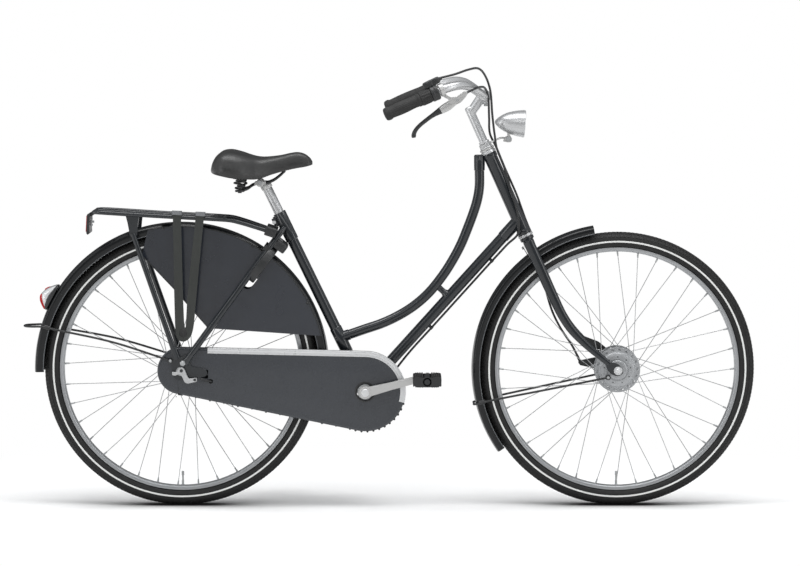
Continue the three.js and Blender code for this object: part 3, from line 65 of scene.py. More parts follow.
# %% [markdown]
# All lengths below are in millimetres, X from the rear axle, Y to the rider's left and
# Z from the ground, as a frame builder would draw it. One helper turns them into metres
# in the frame. The rear tyre's box gives the place of the rear axle.

# %% Driving sizes
MM = 0.001
tyre_low, tyre_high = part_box("rear_tyre")
SHIFT = (tyre_low.x + tyre_high.x) / 2 / MM
WHEELBASE = 1134.0
TYRE = 358.0
HEAD_ANGLE = math.radians(65.8)
SEAT_ANGLE = math.radians(64.15)
RAKE = 75.3
REAR = np.array([0.0, 0.0, TYRE])
FRONT = np.array([WHEELBASE, 0.0, TYRE])
CRANK = np.array([478.0, 0.0, 304.0])
HEAD_UP = np.array([-math.cos(HEAD_ANGLE), 0, math.sin(HEAD_ANGLE)])
HEAD_FRONT = np.array([math.sin(HEAD_ANGLE), 0, math.cos(HEAD_ANGLE)])
HEAD_FOOT = FRONT - RAKE * HEAD_FRONT
SEAT_UP = np.array([-math.cos(SEAT_ANGLE), 0, math.sin(SEAT_ANGLE)])
SEAT_FRONT = np.array([math.sin(SEAT_ANGLE), 0, math.cos(SEAT_ANGLE)])
Y_WAY = np.array([0.0, 1.0, 0.0])


def head(s, f=0.0, y=0.0):
    """A point so far up the head tube's line, forward of it and to the left."""
    return HEAD_FOOT + s * HEAD_UP + f * HEAD_FRONT + y * Y_WAY


def seat(t, f=0.0, y=0.0):
    """The same along the seat tube's line, from the crank."""
    return CRANK + t * SEAT_UP + f * SEAT_FRONT + y * Y_WAY


def polar(axle, radius, degrees, y=0.0):
    """A point round an axle; the angle starts forward and goes up."""
    turn = math.radians(degrees)
    return axle + np.array([radius * math.cos(turn), y, radius * math.sin(turn)])


print("rear axle at", round(SHIFT * MM, 4), "m")

# %% [markdown]
# ## The camera
# A camera far away with a long lens flattens a bicycle as a catalogue picture does. Its
# distance and height follow from the ellipses of the two wheels. It stands a little
# higher than the handlebar and looks slightly down.

# %% Camera
PICTURE_WIDTH = 800
REAR_AXLE_PIXEL = 181.75
AIM_HEIGHT = 0.582
PLANE_DISTANCE = 8.063
METRES_PER_PIXEL = 0.002604
AIM = Vector(((PICTURE_WIDTH / 2 - REAR_AXLE_PIXEL) * METRES_PER_PIXEL + SHIFT * MM, 0.0, AIM_HEIGHT))
LOOK_DOWN = math.radians(5.09)
camera_data = bpy.data.cameras.new("camera")
camera = bpy.data.objects.new("camera", camera_data)
add_to_scene(camera)
bpy.context.scene.camera = camera
camera.location = AIM + Vector((0, -PLANE_DISTANCE, PLANE_DISTANCE * math.tan(LOOK_DOWN)))
camera.rotation_euler = (math.pi / 2 - LOOK_DOWN, 0, 0)
camera_data.sensor_width = 36.0
focal_pixels = PLANE_DISTANCE / math.cos(LOOK_DOWN) / METRES_PER_PIXEL
camera_data.lens = camera_data.sensor_width * focal_pixels / PICTURE_WIDTH
camera_data.clip_end = 200
print("lens", round(camera_data.lens, 1), "mm")

# %% [markdown]
# ## Shapes
# Bicycles are made of few kinds of shapes: bent tubes, turned parts, cut plates and
# lofted bodies. Each helper returns points and faces, and one call makes a piece of them.

# %% Shape helpers
def curve_through(points, steps=8):
    """A centripetal Catmull-Rom path through the points."""
    pts = [np.array(p, float) for p in points]
    pts = [2 * pts[0] - pts[1]] + pts + [2 * pts[-1] - pts[-2]]
    out = []
    for p0, p1, p2, p3 in zip(pts, pts[1:], pts[2:], pts[3:]):
        t1 = np.linalg.norm(p1 - p0) ** 0.5
        t2 = t1 + np.linalg.norm(p2 - p1) ** 0.5
        t3 = t2 + np.linalg.norm(p3 - p2) ** 0.5
        for k in range(steps):
            t = t1 + (t2 - t1) * k / steps
            a1 = (t1 - t) / t1 * p0 + t / t1 * p1
            a2 = (t2 - t) / (t2 - t1) * p1 + (t - t1) / (t2 - t1) * p2
            a3 = (t3 - t) / (t3 - t2) * p2 + (t - t2) / (t3 - t2) * p3
            b1 = (t2 - t) / t2 * a1 + t / t2 * a2
            b2 = (t3 - t) / (t3 - t1) * a2 + (t - t1) / (t3 - t1) * a3
            out.append((t2 - t) / (t2 - t1) * b1 + (t - t1) / (t2 - t1) * b2)
    out.append(pts[-2])
    return out


def soft_loop(points, steps=3):
    """A smooth closed outline through [x, z] points."""
    loop = curve_through([(x, 0, z) for x, z in list(points) + [points[0]]], steps)
    return [(p[0], p[2]) for p in loop[:-1]]


def unit(v):
    return v / np.linalg.norm(v)


def skin(rings, closed=False):
    """Points and faces of a skin through rings, with flat ends."""
    count = len(rings[0])
    verts = [tuple(p) for ring in rings for p in ring]
    faces = []
    last = len(rings) if closed else len(rings) - 1
    for i in range(last):
        a, b = i * count, ((i + 1) % len(rings)) * count
        for j in range(count):
            k = (j + 1) % count
            faces.append((a + j, a + k, b + k, b + j))
    if not closed:
        faces.append(tuple(range(count - 1, -1, -1)))
        faces.append(tuple(range((len(rings) - 1) * count, len(rings) * count)))
    return verts, faces


def tube(path, radius, sides=24, closed=False, first_up=None):
    """A round or oval tube along a path; radius is one value, or one or two for each point."""
    path = [np.array(p, float) for p in path]
    count = len(path)
    radii = [radius] * count if np.isscalar(radius) else list(radius)
    ways = []
    for i in range(count):
        before = path[(i - 1) % count] if closed or i else path[0]
        after = path[(i + 1) % count] if closed or i < count - 1 else path[-1]
        ways.append(unit(after - before))
    up = np.array(first_up, float) if first_up is not None else np.array([0.0, 1.0, 0.0])
    if abs(np.dot(up, ways[0])) > 0.9:
        up = np.array([1.0, 0.0, 0.3])
    rings = []
    for p, way, r in zip(path, ways, radii):
        up = unit(up - np.dot(up, way) * way)
        side = np.cross(way, up)
        wide, tall = (r, r) if np.isscalar(r) else r
        rings.append([p + wide * math.cos(a) * up + tall * math.sin(a) * side
            for a in (2 * math.pi * (j + 0.5) / sides for j in range(sides))])
    return skin(rings, closed)


def rod(a, b, radius, end_radius=None, sides=24):
    return tube([a, b], [radius, radius if end_radius is None else end_radius], sides)


def across(x, z, low, high, radius, sides=24):
    return rod(np.array([x, low, z]), np.array([x, high, z]), radius, sides=sides)


def turned(profile, base=(0, 0, 0), way=(0, 1, 0), sides=48):
    """A turned part: [radius, height] pairs; a profile that starts off the axis is a closed ring."""
    way = unit(np.array(way, float))
    first = unit(np.cross(way, [0.31, 0.17, 0.93])) if abs(way[1]) < 0.99 else np.array([1.0, 0, 0])
    second = np.cross(way, first)
    base = np.array(base, float)
    ring_shape = profile[0][0] > 0.01
    rings = []
    for j in range(sides):
        a = 2 * math.pi * j / sides
        out = math.cos(a) * first + math.sin(a) * second
        rings.append([base + r * out + h * way for r, h in profile])
    count = len(profile)
    verts = [tuple(p) for ring in rings for p in ring]
    faces = []
    for j in range(sides):
        a, b = j * count, ((j + 1) % sides) * count
        for i in range(count if ring_shape else count - 1):
            k = (i + 1) % count
            faces.append((a + i, a + k, b + k, b + i))
    return verts, faces


def plate(outline, low, high, holes=()):
    """A flat plate drawn in X and Z, its thickness along Y."""
    loops = [list(outline)] + [list(h) for h in holes]
    flat = [[Vector((x, z, 0)) for x, z in loop] for loop in loops]
    points = [p for loop in loops for p in loop]
    triangles = geometry.tessellate_polygon(flat)
    count = len(points)
    verts = [(x, low, z) for x, z in points] + [(x, high, z) for x, z in points]
    faces = [tuple(t) for t in triangles] + [tuple(i + count for i in reversed(t)) for t in triangles]
    start = 0
    for loop in loops:
        for i in range(len(loop)):
            a, b = start + i, start + (i + 1) % len(loop)
            faces.append((a, b, b + count, a + count))
        start += len(loop)
    return verts, faces


def soft_plate(points, low, high, steps=3):
    return plate(soft_loop(points, steps), low, high)


def arc(x, z, radius, start, end, steps):
    """Points [x, z] along a circle between two angles in degrees."""
    turns = [math.radians(start + (end - start) * i / steps) for i in range(steps + 1)]
    return [(x + radius * math.cos(t), z + radius * math.sin(t)) for t in turns]


def off_axis(axle, degrees, along, aside=0):
    """A point [x, z] so far along a ray from an axle and so far aside of it."""
    t = math.radians(degrees)
    c, s = math.cos(t), math.sin(t)
    return axle[0] + along * c - aside * s, axle[2] + along * s + aside * c


def disc(x, z, radius, sides=24):
    return arc(x, z, radius, 0, 360 * (1 - 1 / sides), sides - 1)


def slot(x, z, half, radius, degrees, steps=6):
    """A slot with round ends, centred on x, z and pointing along the angle."""
    t = math.radians(degrees)
    dx, dz = half * math.cos(t), half * math.sin(t)
    return (arc(x + dx, z + dz, radius, degrees - 90, degrees + 90, steps) + arc(x - dx, z - dz, radius,
        degrees + 90, degrees + 270, steps))


# %% [markdown]
# A piece is one mesh with one finish. Its faces are turned outwards, its edges get a
# small bevel that catches the light, and only faces that meet at a shallow angle are
# shaded as one smooth surface.

# %% Making a piece
SIDES = ((-1, "right"), (1, "left"))
WELD = 0.001 * MM
ROUND_FROM = math.radians(40)
materials = {}


def piece(name, body, finish, parts, replaces=(), bevel=0.0, smooth=35.0, between=None,
        repeat=None):
    """Makes a piece; bevel is in millimetres, smooth is the widest angle shaded as one surface."""
    verts, faces = [], []
    for part_verts, part_faces in parts:
        start = len(verts)
        verts += [((x + SHIFT) * MM, y * MM, z * MM) for x, y, z in part_verts]
        faces += [tuple(i + start for i in f) for f in part_faces]
    mesh = bpy.data.meshes.new(name)
    mesh.from_pydata(verts, [], faces)
    bm = bmesh.new()
    bm.from_mesh(mesh)
    bmesh.ops.remove_doubles(bm, verts=bm.verts, dist=WELD)
    bmesh.ops.dissolve_degenerate(bm, edges=bm.edges, dist=WELD * 0.1)
    bmesh.ops.recalc_face_normals(bm, faces=bm.faces)
    bm.to_mesh(mesh)
    bm.free()
    mesh.materials.append(materials[finish])
    mesh.shade_smooth()
    mesh.set_sharp_from_angle(angle=math.radians(smooth))
    obj = bpy.data.objects.new(name, mesh)
    add_to_scene(obj)
    if bevel:
        rounding = obj.modifiers.new("rounded edges", "BEVEL")
        rounding.width = bevel * MM
        rounding.segments = 2
        rounding.limit_method = "ANGLE"
        rounding.angle_limit = ROUND_FROM
    if repeat:
        repeated(obj, **repeat)
    if between:
        first, second, start, end = between
        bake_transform(obj)
    else:
        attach(obj, body)
    if replaces:
        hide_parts(*([replaces] if isinstance(replaces, str) else replaces))
    return obj


# %% [markdown]
# Spokes, nipples and tread blocks repeat round a wheel. One Geometry Nodes tree copies a
# piece and turns each copy a step further round a pivot, and its named inputs say how
# many and how far. The copies are made real, get their material, and become a mesh.

# %% The tree for repeats
def repeat_tree():
    tree = bpy.data.node_groups.new("repeated", "GeometryNodeTree")
    sockets = (("Geometry", "Geometry"), ("Count", "Int"), ("Turn", "Vector"), ("Pivot", "Vector"),
        ("Finish", "Material"))
    for name, kind in sockets:
        tree.interface.new_socket(name, in_out="INPUT", socket_type="NodeSocket" + kind)
    tree.interface.new_socket("Geometry", in_out="OUTPUT", socket_type="NodeSocketGeometry")
    node, link = tree.nodes.new, tree.links.new
    source, result = node("NodeGroupInput"), node("NodeGroupOutput")
    line = node("GeometryNodeMeshLine")
    line.mode = "OFFSET"
    line.inputs["Offset"].default_value = (0, 0, 0)
    copies, index = node("GeometryNodeInstanceOnPoints"), node("GeometryNodeInputIndex")
    turn, rotate = node("ShaderNodeVectorMath"), node("GeometryNodeRotateInstances")
    turn.operation = "SCALE"
    rotate.inputs["Local Space"].default_value = False
    real, coat = node("GeometryNodeRealizeInstances"), node("GeometryNodeSetMaterial")
    link(source.outputs["Count"], line.inputs["Count"])
    link(line.outputs["Mesh"], copies.inputs["Points"])
    link(source.outputs["Geometry"], copies.inputs["Instance"])
    link(source.outputs["Turn"], turn.inputs[0])
    link(index.outputs[0], turn.inputs["Scale"])
    link(copies.outputs[0], rotate.inputs["Instances"])
    link(turn.outputs[0], rotate.inputs["Rotation"])
    link(source.outputs["Pivot"], rotate.inputs["Pivot Point"])
    link(rotate.outputs[0], real.inputs[0])
    link(real.outputs[0], coat.inputs["Geometry"])
    link(source.outputs["Finish"], coat.inputs["Material"])
    link(coat.outputs[0], result.inputs[0])
    return tree


REPEAT = repeat_tree()
INPUT_ID = {s.name: s.identifier for s in REPEAT.interface.items_tree if s.in_out == "INPUT"}


def place(point):
    return Vector(((point[0] + SHIFT) * MM, point[1] * MM, point[2] * MM))


def repeated(obj, count, turn, pivot):
    """Copies a piece count times round a pivot in millimetres; turn is in degrees."""
    modifier = obj.modifiers.new("repeated", "NODES")
    modifier.node_group = REPEAT
    modifier[INPUT_ID["Count"]] = count
    modifier[INPUT_ID["Turn"]] = [math.radians(t) for t in turn]
    modifier[INPUT_ID["Pivot"]] = list(place(pivot))
    modifier[INPUT_ID["Finish"]] = obj.data.materials[0]
    bpy.context.view_layer.update()
    graph = bpy.context.evaluated_depsgraph_get()
    whole = bpy.data.meshes.new_from_object(obj.evaluated_get(graph))
    obj.modifiers.remove(modifier)
    old = obj.data
    obj.data = whole
    bpy.data.meshes.remove(old)


# %% [markdown]
# ## Finishes
# Every finish is one small node tree: a broad noise shifts the colour a little, a fine
# noise raises the surface, and a third one makes the gloss uneven as handling does.
# Texture places come from the piece itself, so a wheel's grain turns with the wheel.

# %% Finishes
COAT_ROUGHNESS = 0.06
RELIEF_DEPTH = 0.4 * MM


def srgb(code):
    """A colour written as in a paint list, turned into linear light."""
    values = [int(code[i:i + 2], 16) / 255 for i in (1, 3, 5)]
    return [v / 12.92 if v <= 0.04045 else ((v + 0.055) / 1.055) ** 2.4 for v in values] + [1.0]


def material(name, colour, roughness, metal=0.0, coat=0.0, vary=0.06, broad=9.0, grain=900.0, bump=0.05,
        wear=0.08, specular=0.5):
    mat = bpy.data.materials.new(name)
    mat.use_nodes = True
    tree = mat.node_tree
    tree.nodes.clear()
    new, link = tree.nodes.new, tree.links.new
    out, shader = new("ShaderNodeOutputMaterial"), new("ShaderNodeBsdfPrincipled")
    link(shader.outputs[0], out.inputs["Surface"])
    shader.inputs["Metallic"].default_value = metal
    shader.inputs["Coat Weight"].default_value = coat
    shader.inputs["Coat Roughness"].default_value = COAT_ROUGHNESS
    shader.inputs["Specular IOR Level"].default_value = specular
    texture_place = new("ShaderNodeTexCoord")

    def noise(scale, detail):
        n = new("ShaderNodeTexNoise")
        n.inputs["Scale"].default_value = scale
        n.inputs["Detail"].default_value = detail
        link(texture_place.outputs["Object"], n.inputs["Vector"])
        return n

    broad_noise, fine_noise, wear_noise = noise(broad, 4.0), noise(grain, 2.0), noise(broad * 6, 6.0)
    base = srgb(colour)
    ramp = new("ShaderNodeValToRGB")
    ramp.color_ramp.elements[0].position = 0.3
    ramp.color_ramp.elements[1].position = 0.7
    ramp.color_ramp.elements[0].color = [c * (1 - vary) for c in base[:3]] + [1]
    ramp.color_ramp.elements[1].color = [min(1.0, c * (1 + vary)) for c in base[:3]] + [1]
    link(broad_noise.outputs["Fac"], ramp.inputs["Fac"])
    link(ramp.outputs["Color"], shader.inputs["Base Color"])
    gloss = new("ShaderNodeMapRange")
    gloss.inputs["From Min"].default_value = 0.35
    gloss.inputs["From Max"].default_value = 0.7
    gloss.inputs["To Min"].default_value = max(0.02, roughness - wear)
    gloss.inputs["To Max"].default_value = min(1.0, roughness + wear)
    link(wear_noise.outputs["Fac"], gloss.inputs["Value"])
    link(gloss.outputs["Result"], shader.inputs["Roughness"])
    relief = new("ShaderNodeBump")
    relief.inputs["Strength"].default_value = bump
    relief.inputs["Distance"].default_value = RELIEF_DEPTH
    link(fine_noise.outputs["Fac"], relief.inputs["Height"])
    link(relief.outputs["Normal"], shader.inputs["Normal"])
    materials[name] = mat


material("paint", "#181c20", 0.3, coat=0.6, vary=0.05, grain=90, bump=0.004, wear=0.03, specular=0.3)
material("case_plastic", "#303338", 0.26, coat=0.15, vary=0.04, grain=1400, bump=0.05, wear=0.05)
material("guard_vinyl", "#20242c", 0.24, coat=0.25, vary=0.05, broad=5, grain=500, bump=0.06, wear=0.05)
material("fender_paint", "#0d0f11", 0.3, coat=0.35, vary=0.05, grain=90, bump=0.004, wear=0.03,
    specular=0.2)
material("rubber", "#2a2a2a", 0.72, vary=0.1, grain=1500, bump=0.25, wear=0.1, specular=0.35)
material("tyre", "#1e1e1e", 0.62, vary=0.1, broad=14, grain=1800, bump=0.3, wear=0.08, specular=0.3)
material("black_plastic", "#232425", 0.42, vary=0.06, grain=1600, bump=0.15, wear=0.07)
material("strap_rubber", "#303230", 0.62, vary=0.08, grain=1200, bump=0.2, wear=0.08, specular=0.4)
material("saddle_vinyl", "#262626", 0.42, vary=0.07, grain=1100, bump=0.3, wear=0.08)
material("alloy", "#d2d3d4", 0.32, metal=0.5, vary=0.03, grain=120, bump=0.004, wear=0.06)
material("chrome", "#bfc0c1", 0.35, metal=0.72, vary=0.012, broad=5, grain=70, bump=0.002, wear=0.008)
material("dark_steel", "#38393a", 0.42, metal=0.55, vary=0.1, grain=1300, bump=0.08, wear=0.1)
material("clear_lens", "#dfe6ea", 0.08, coat=0.5, vary=0.02, grain=260, bump=0.3, wear=0.02)
# Lighter grey than the fender paint, so that the thin beads along the fender edges show a painted highlight
# line.
material("bead_painted_highlight", "#44474a", 0.3, coat=0.6, vary=0.04, grain=90, bump=0.004, wear=0.04)
material("red_lens", "#a80006", 0.32, vary=0.08, grain=220, bump=0.1, wear=0.03, specular=0.2)
material("stripe", "#dcdddb", 0.55, vary=0.04, grain=1500, bump=0.15, wear=0.05)
material("bright_trim", "#cfd0d1", 0.3, metal=0.35, coat=0.2, vary=0.02, grain=90, bump=0.002, wear=0.03)
material("rim_alloy", "#a3a5a7", 0.36, metal=0.7, vary=0.05, broad=14, grain=1300, bump=0.04, wear=0.08)
material("zinc", "#a9abac", 0.45, metal=0.6, vary=0.08, grain=1500, bump=0.08, wear=0.1)
material("soft_grey", "#75777a", 0.5, vary=0.06, grain=1200, bump=0.1, wear=0.08)
material("cable_black", "#1f2021", 0.46, vary=0.05, grain=1500, bump=0.08, wear=0.06)
material("satin_alloy", "#bcbcbb", 0.36, metal=0.5, vary=0.03, broad=16, grain=120, bump=0.004, wear=0.05)
material("spoke", "#a9aaab", 0.3, metal=0.6, vary=0.04, grain=1600, bump=0.03, wear=0.06)
material("hub_alloy", "#9fa1a3", 0.4, metal=0.5, vary=0.06, broad=22, grain=900, bump=0.1, wear=0.1)
print(len(materials), "finishes")

# %% [markdown]
# ## Light and floor
# A catalogue picture has light from everywhere. White panels stand beside the bicycle and
# dark ones before and behind it, so that tubes show pale lines and dark edges. The
# backdrop is white, and the floor keeps a faint shadow of the bike; close to the tyres its
# colour is also darkened as a painted shadow.

# %% Light and floor
PANEL_STRENGTH = 0.78
PANELS = ((0.0, 0.3), (0.1, 0.3), (0.25, 0.95), (0.6, 1.0), (0.78, 0.4), (0.9, 0.12), (1.0, 0.1))
world = bpy.data.worlds.new("studio")
bpy.context.scene.world = world
world.use_nodes = True
wt = world.node_tree
wt.nodes.clear()
world_out = wt.nodes.new("ShaderNodeOutputWorld")
mixer = wt.nodes.new("ShaderNodeMixShader")
path_node = wt.nodes.new("ShaderNodeLightPath")
lighting, backdrop = wt.nodes.new("ShaderNodeBackground"), wt.nodes.new("ShaderNodeBackground")
lighting.inputs["Strength"].default_value = PANEL_STRENGTH
way_out, axes = wt.nodes.new("ShaderNodeTexCoord"), wt.nodes.new("ShaderNodeSeparateXYZ")
depth, panels = wt.nodes.new("ShaderNodeMapRange"), wt.nodes.new("ShaderNodeValToRGB")
depth.inputs["From Min"].default_value = -1.0
wt.links.new(way_out.outputs["Generated"], axes.inputs[0])
wt.links.new(axes.outputs["Y"], depth.inputs["Value"])
wt.links.new(depth.outputs["Result"], panels.inputs["Fac"])
wt.links.new(panels.outputs["Color"], lighting.inputs["Color"])
for place_on, level in PANELS:
    ends = panels.color_ramp.elements
    stop = ends.new(place_on) if 0 < place_on < 1 else ends[0 if place_on == 0 else -1]
    stop.color = (level * 0.97, level * 0.985, level, 1)
backdrop.inputs["Color"].default_value = (1, 1, 1, 1)
backdrop.inputs["Strength"].default_value = 1.0
wt.links.new(path_node.outputs["Is Camera Ray"], mixer.inputs["Fac"])
wt.links.new(lighting.outputs[0], mixer.inputs[1])
wt.links.new(backdrop.outputs[0], mixer.inputs[2])
wt.links.new(mixer.outputs[0], world_out.inputs["Surface"])


def soft_box(name, where, target, width, height, watts):
    data = bpy.data.lights.new(name, "AREA")
    data.shape = "RECTANGLE"
    data.size, data.size_y = width, height
    data.energy = watts
    lamp = bpy.data.objects.new(name, data)
    add_to_scene(lamp)
    lamp.location = where
    lamp.rotation_euler = (Vector(target) - Vector(where)).to_track_quat("-Z", "Y").to_euler()


soft_box("top light", (0, -0.6, 4.0), (0, 0, 0.4), 4.4, 1.2, 110)
soft_box("front strip", (0, -4.6, 3.4), (0, 0, 0.6), 6.0, 0.9, 40)
for side_x in (-3.6, 3.6):
    soft_box("side strip", (side_x, -2.4, 1.5), (0, 0, 0.7), 0.9, 3.0, 26)

SHADOW_OVAL, SHADOW_EDGE, PAINTED_SHADOW_REACH, FLOOR_GLOW = (1.9, 1.1), 0.45, 0.3, 0.1
floor_mesh = bpy.data.meshes.new("floor")
floor_mesh.from_pydata([(-60, -12, 0), (60, -12, 0), (60, 150, 0), (-60, 150, 0)], [], [(0, 1, 2, 3)])
floor = bpy.data.objects.new("floor", floor_mesh)
add_to_scene(floor)
floor_mat = bpy.data.materials.new("floor")
floor_mat.use_nodes = True
ft = floor_mat.node_tree
ft.nodes.clear()
fnew, flink = ft.nodes.new, ft.links.new
floor_out, diffuse = fnew("ShaderNodeOutputMaterial"), fnew("ShaderNodeBsdfDiffuse")
glow, both = fnew("ShaderNodeEmission"), fnew("ShaderNodeAddShader")
white, fade = fnew("ShaderNodeEmission"), fnew("ShaderNodeMixShader")
where, flat, near = fnew("ShaderNodeTexCoord"), fnew("ShaderNodeMapping"), fnew("ShaderNodeTexGradient")
flat.inputs["Scale"].default_value = (1 / SHADOW_OVAL[0], 1 / SHADOW_OVAL[1], 1)
near.gradient_type = "SPHERICAL"
soft_edge = fnew("ShaderNodeMapRange")
soft_edge.interpolation_type = "SMOOTHSTEP"
soft_edge.inputs["From Max"].default_value = SHADOW_EDGE
glow.inputs["Strength"].default_value = FLOOR_GLOW
# An occlusion node darkens the floor's colour and glow close to the tyres: a painted shadow on top of the
# lamps' own shadow.
painted_contact_shadow, painted_shadow_level = fnew("ShaderNodeAmbientOcclusion"), fnew("ShaderNodeMapRange")
painted_contact_shadow.inputs["Distance"].default_value = PAINTED_SHADOW_REACH
for socket, level in (("From Min", 0.42), ("From Max", 0.95), ("To Min", 0.03), ("To Max", 0.9)):
    painted_shadow_level.inputs[socket].default_value = level
flink(painted_contact_shadow.outputs["AO"], painted_shadow_level.inputs["Value"])
flink(painted_shadow_level.outputs["Result"], diffuse.inputs["Color"])
flink(painted_shadow_level.outputs["Result"], glow.inputs["Color"])
flink(where.outputs["Object"], flat.inputs["Vector"])
flink(flat.outputs[0], near.inputs["Vector"])
flink(near.outputs["Fac"], soft_edge.inputs["Value"])
flink(diffuse.outputs[0], both.inputs[0])
flink(glow.outputs[0], both.inputs[1])
flink(soft_edge.outputs["Result"], fade.inputs["Fac"])
flink(white.outputs[0], fade.inputs[1])
flink(both.outputs[0], fade.inputs[2])
flink(fade.outputs[0], floor_out.inputs["Surface"])
floor_mesh.materials.append(floor_mat)
bpy.context.scene.view_settings.view_transform = "Standard"

# %% [markdown]
# ## Wheels
# A city wheel is a wide tyre with a reflecting line round each side wall, an aluminium
# rim, and a hub held by thirty-six crossed spokes. Each has its own turned section.

# %% Tyres
RIM_OUT, RIM_BED, RIM_WELL, RIM_IN, RIM_HALF, RIM_LIP = 318.4, 312.6, 309.4, 306.6, 12.3, 2.2
TYRE_HALF = 23.5
TYRE_MIDDLE = TYRE - TYRE_HALF
LINE_FROM, LINE_TO = 97.5, 86.5
WHEELS = (("front", FRONT, "front_wheel"), ("rear", REAR, "rear_wheel"))
ROUND = 128


def tyre_section(start, end, steps, grow=0.0):
    """Points [radius, side] on the tyre between two angles from its middle."""
    return arc(TYRE_MIDDLE, 0, TYRE_HALF + grow, start, end, steps)


BEAD = RIM_HALF - RIM_LIP - 0.3
carcass = ([(RIM_BED + 0.6, -3.6), (RIM_OUT + 0.9, -BEAD)] + tyre_section(-128, 128, 36, -1.1)
    + [(RIM_OUT + 0.9, BEAD), (RIM_BED + 0.6, 3.6)])
tread_block = []
TREAD_ROWS = ((-62, -40, 2.2), (-36, -22, -1.8), (-19, -5, 1.6), (5, 19, 1.6), (22, 36, -1.8),
    (40, 62, 2.2))
for low, high, lean in TREAD_ROWS:
    block_rings = []
    for lift in (-1.3, -0.05):
        inset = 0.0 if lift < -1 else 0.35
        ring = []
        first, last = low + inset, high - inset
        for degrees, along_way in ((first, -1), (last, -1), (last, 1), (first, 1)):
            t = math.radians(degrees)
            r = TYRE_MIDDLE + (TYRE_HALF + lift) * math.cos(t)
            side_y = (TYRE_HALF + lift) * math.sin(t)
            half_block = (3.9 - inset * 3) * along_way + lean * (1 if degrees == last else -1)
            ring.append((half_block, side_y, r))
        block_rings.append(ring)
    tread_block.append(block_rings)
TREAD_COUNT = 216

for name, axle, body in WHEELS:
    piece(f"{name}_tyre_body", body, "tyre", [turned(carcass, axle, sides=ROUND)], f"{name}_tyre",
        smooth=50)
    blocks = [skin([[tuple(axle + np.array([dx, y, r])) for dx, y, r in ring] for ring in rings])
        for rings in tread_block]
    piece(f"{name}_tyre_tread", body, "tyre", blocks, smooth=30, repeat=dict(count=TREAD_COUNT,
        turn=(0, 360 / TREAD_COUNT, 0), pivot=axle))
    for side, side_name in SIDES:
        outer = tyre_section(LINE_FROM, LINE_TO, 4, -0.75)
        inner = tyre_section(LINE_TO, LINE_FROM, 4, -1.3)
        band = [(r, abs(y) * side) for r, y in outer + inner]
        piece(f"{name}_tyre_line_{side_name}", body, "stripe", [turned(band, axle, sides=ROUND)],
            smooth=50)
print("tyres made")

# %% Rims, nipples, spokes and valves
rim_profile = [(RIM_IN, -5), (RIM_IN + 1.2, -8.4), (RIM_BED - 2.5, -11.7), (RIM_BED - 0.5, -RIM_HALF),
    (RIM_OUT - 0.6, -RIM_HALF), (RIM_OUT, -RIM_HALF + 0.6), (RIM_OUT, -RIM_HALF + 1.7),
    (RIM_OUT - 0.6, -RIM_HALF + RIM_LIP), (RIM_BED, -6.2), (RIM_WELL, 0)]
rim_profile = rim_profile + [(r, -y) for r, y in reversed(rim_profile[:-1])] + [(RIM_IN - 0.5, 0)]
SPOKES = 36


def spoke_set(axle, flange, phase, cross, holes):
    """Two crossing spokes on each side; the set is repeated round the hub."""
    wires, nipples = [], []
    for i in range(4):
        side = -1 if i % 2 == 0 else 1
        lead = 1 if i % 4 < 2 else -1
        rim_turn = phase + 360 * i / SPOKES
        hub_turn = rim_turn - lead * 720 * cross / SPOKES
        a = polar(axle, holes, hub_turn, flange[side > 0] + lead * 1.2)
        b = polar(axle, RIM_IN - 0.2, rim_turn, side * 2 + lead * 1.2)
        wires.append(rod(a, b, 1.0, sides=8))
        elbow = a + np.array([0, -lead * 3.6, 0])
        wires.append(tube([a + unit(b - a) * 1.5, a, elbow], 1.05, sides=8))
        wires.append(rod(elbow, elbow + np.array([0, -lead * 1.2, 0]), 2.0, 1.3, sides=10))
        way = unit(a - b)
        nipples.append(tube([b - way * 2.5, b + way * 0.6, b + way * 8.5, b + way * 11.5, b + way * 12],
            [2.9, 2.6, 2.1, 1.9, 1.2], sides=8))
    return wires, nipples


LOCK_TURN = 52.6
RIGS = {"front": ((-27, 19.5), 0.0, 2, 54.0), "rear": ((-25.5, 27.5), LOCK_TURN - 180 / SPOKES, 3, 32.0)}
for name, axle, body in WHEELS:
    piece(f"{name}_rim_hoop", body, "rim_alloy", [turned(rim_profile, axle, sides=ROUND)], f"{name}_rim",
        smooth=40)
    flange, phase, cross, holes = RIGS[name]
    wires, nipples = spoke_set(axle, flange, phase, cross, holes)
    piece(f"{name}_spokes", body, "spoke", wires, smooth=45,
        repeat=dict(count=SPOKES // 4, turn=(0, -1440 / SPOKES, 0), pivot=axle))
    piece(f"{name}_nipples", body, "zinc", nipples, smooth=30,
        repeat=dict(count=SPOKES // 4, turn=(0, -1440 / SPOKES, 0), pivot=axle))
    foot = polar(axle, RIM_IN + 1, -90)
    valve = [turned([(0.0, 0), (4.6, 0), (4.6, 2.2), (3.1, 2.6), (3.1, 14), (2.5, 14.4), (2.5, 27),
        (3.4, 27.4), (3.4, 36), (2.6, 37.5), (0.0, 37.5)], foot, (0, 0, 1), 20)]
    piece(f"{name}_valve", body, "zinc", valve, smooth=35)
print("two rims and", 2 * SPOKES, "spokes")

# %% [markdown]
# The front hub has wide flanges with slanted slots, so that the spokes can be hooked in.
# A roller brake closes its left side. The rear hub hides gears and a coaster brake.

# %% Hubs
FLANGE_OUT, FLANGE_IN, FLANGE_SLOTS, SLOT_RING, FLANGE_SLANT = 59, 44, 18, 52, 62


def slotted_flange(axle, low, high):
    """A flat flange with slanted slots, in which the spokes are hooked."""
    holes = []
    for i in range(FLANGE_SLOTS):
        turn = 360 * i / FLANGE_SLOTS + 4
        holes.append(slot(*off_axis(axle, turn, SLOT_RING), 2.6, 1.9, turn + FLANGE_SLANT))
    return plate(disc(axle[0], axle[2], FLANGE_OUT, 96), low, high, [disc(axle[0], axle[2], FLANGE_IN, 72)]
        + holes)


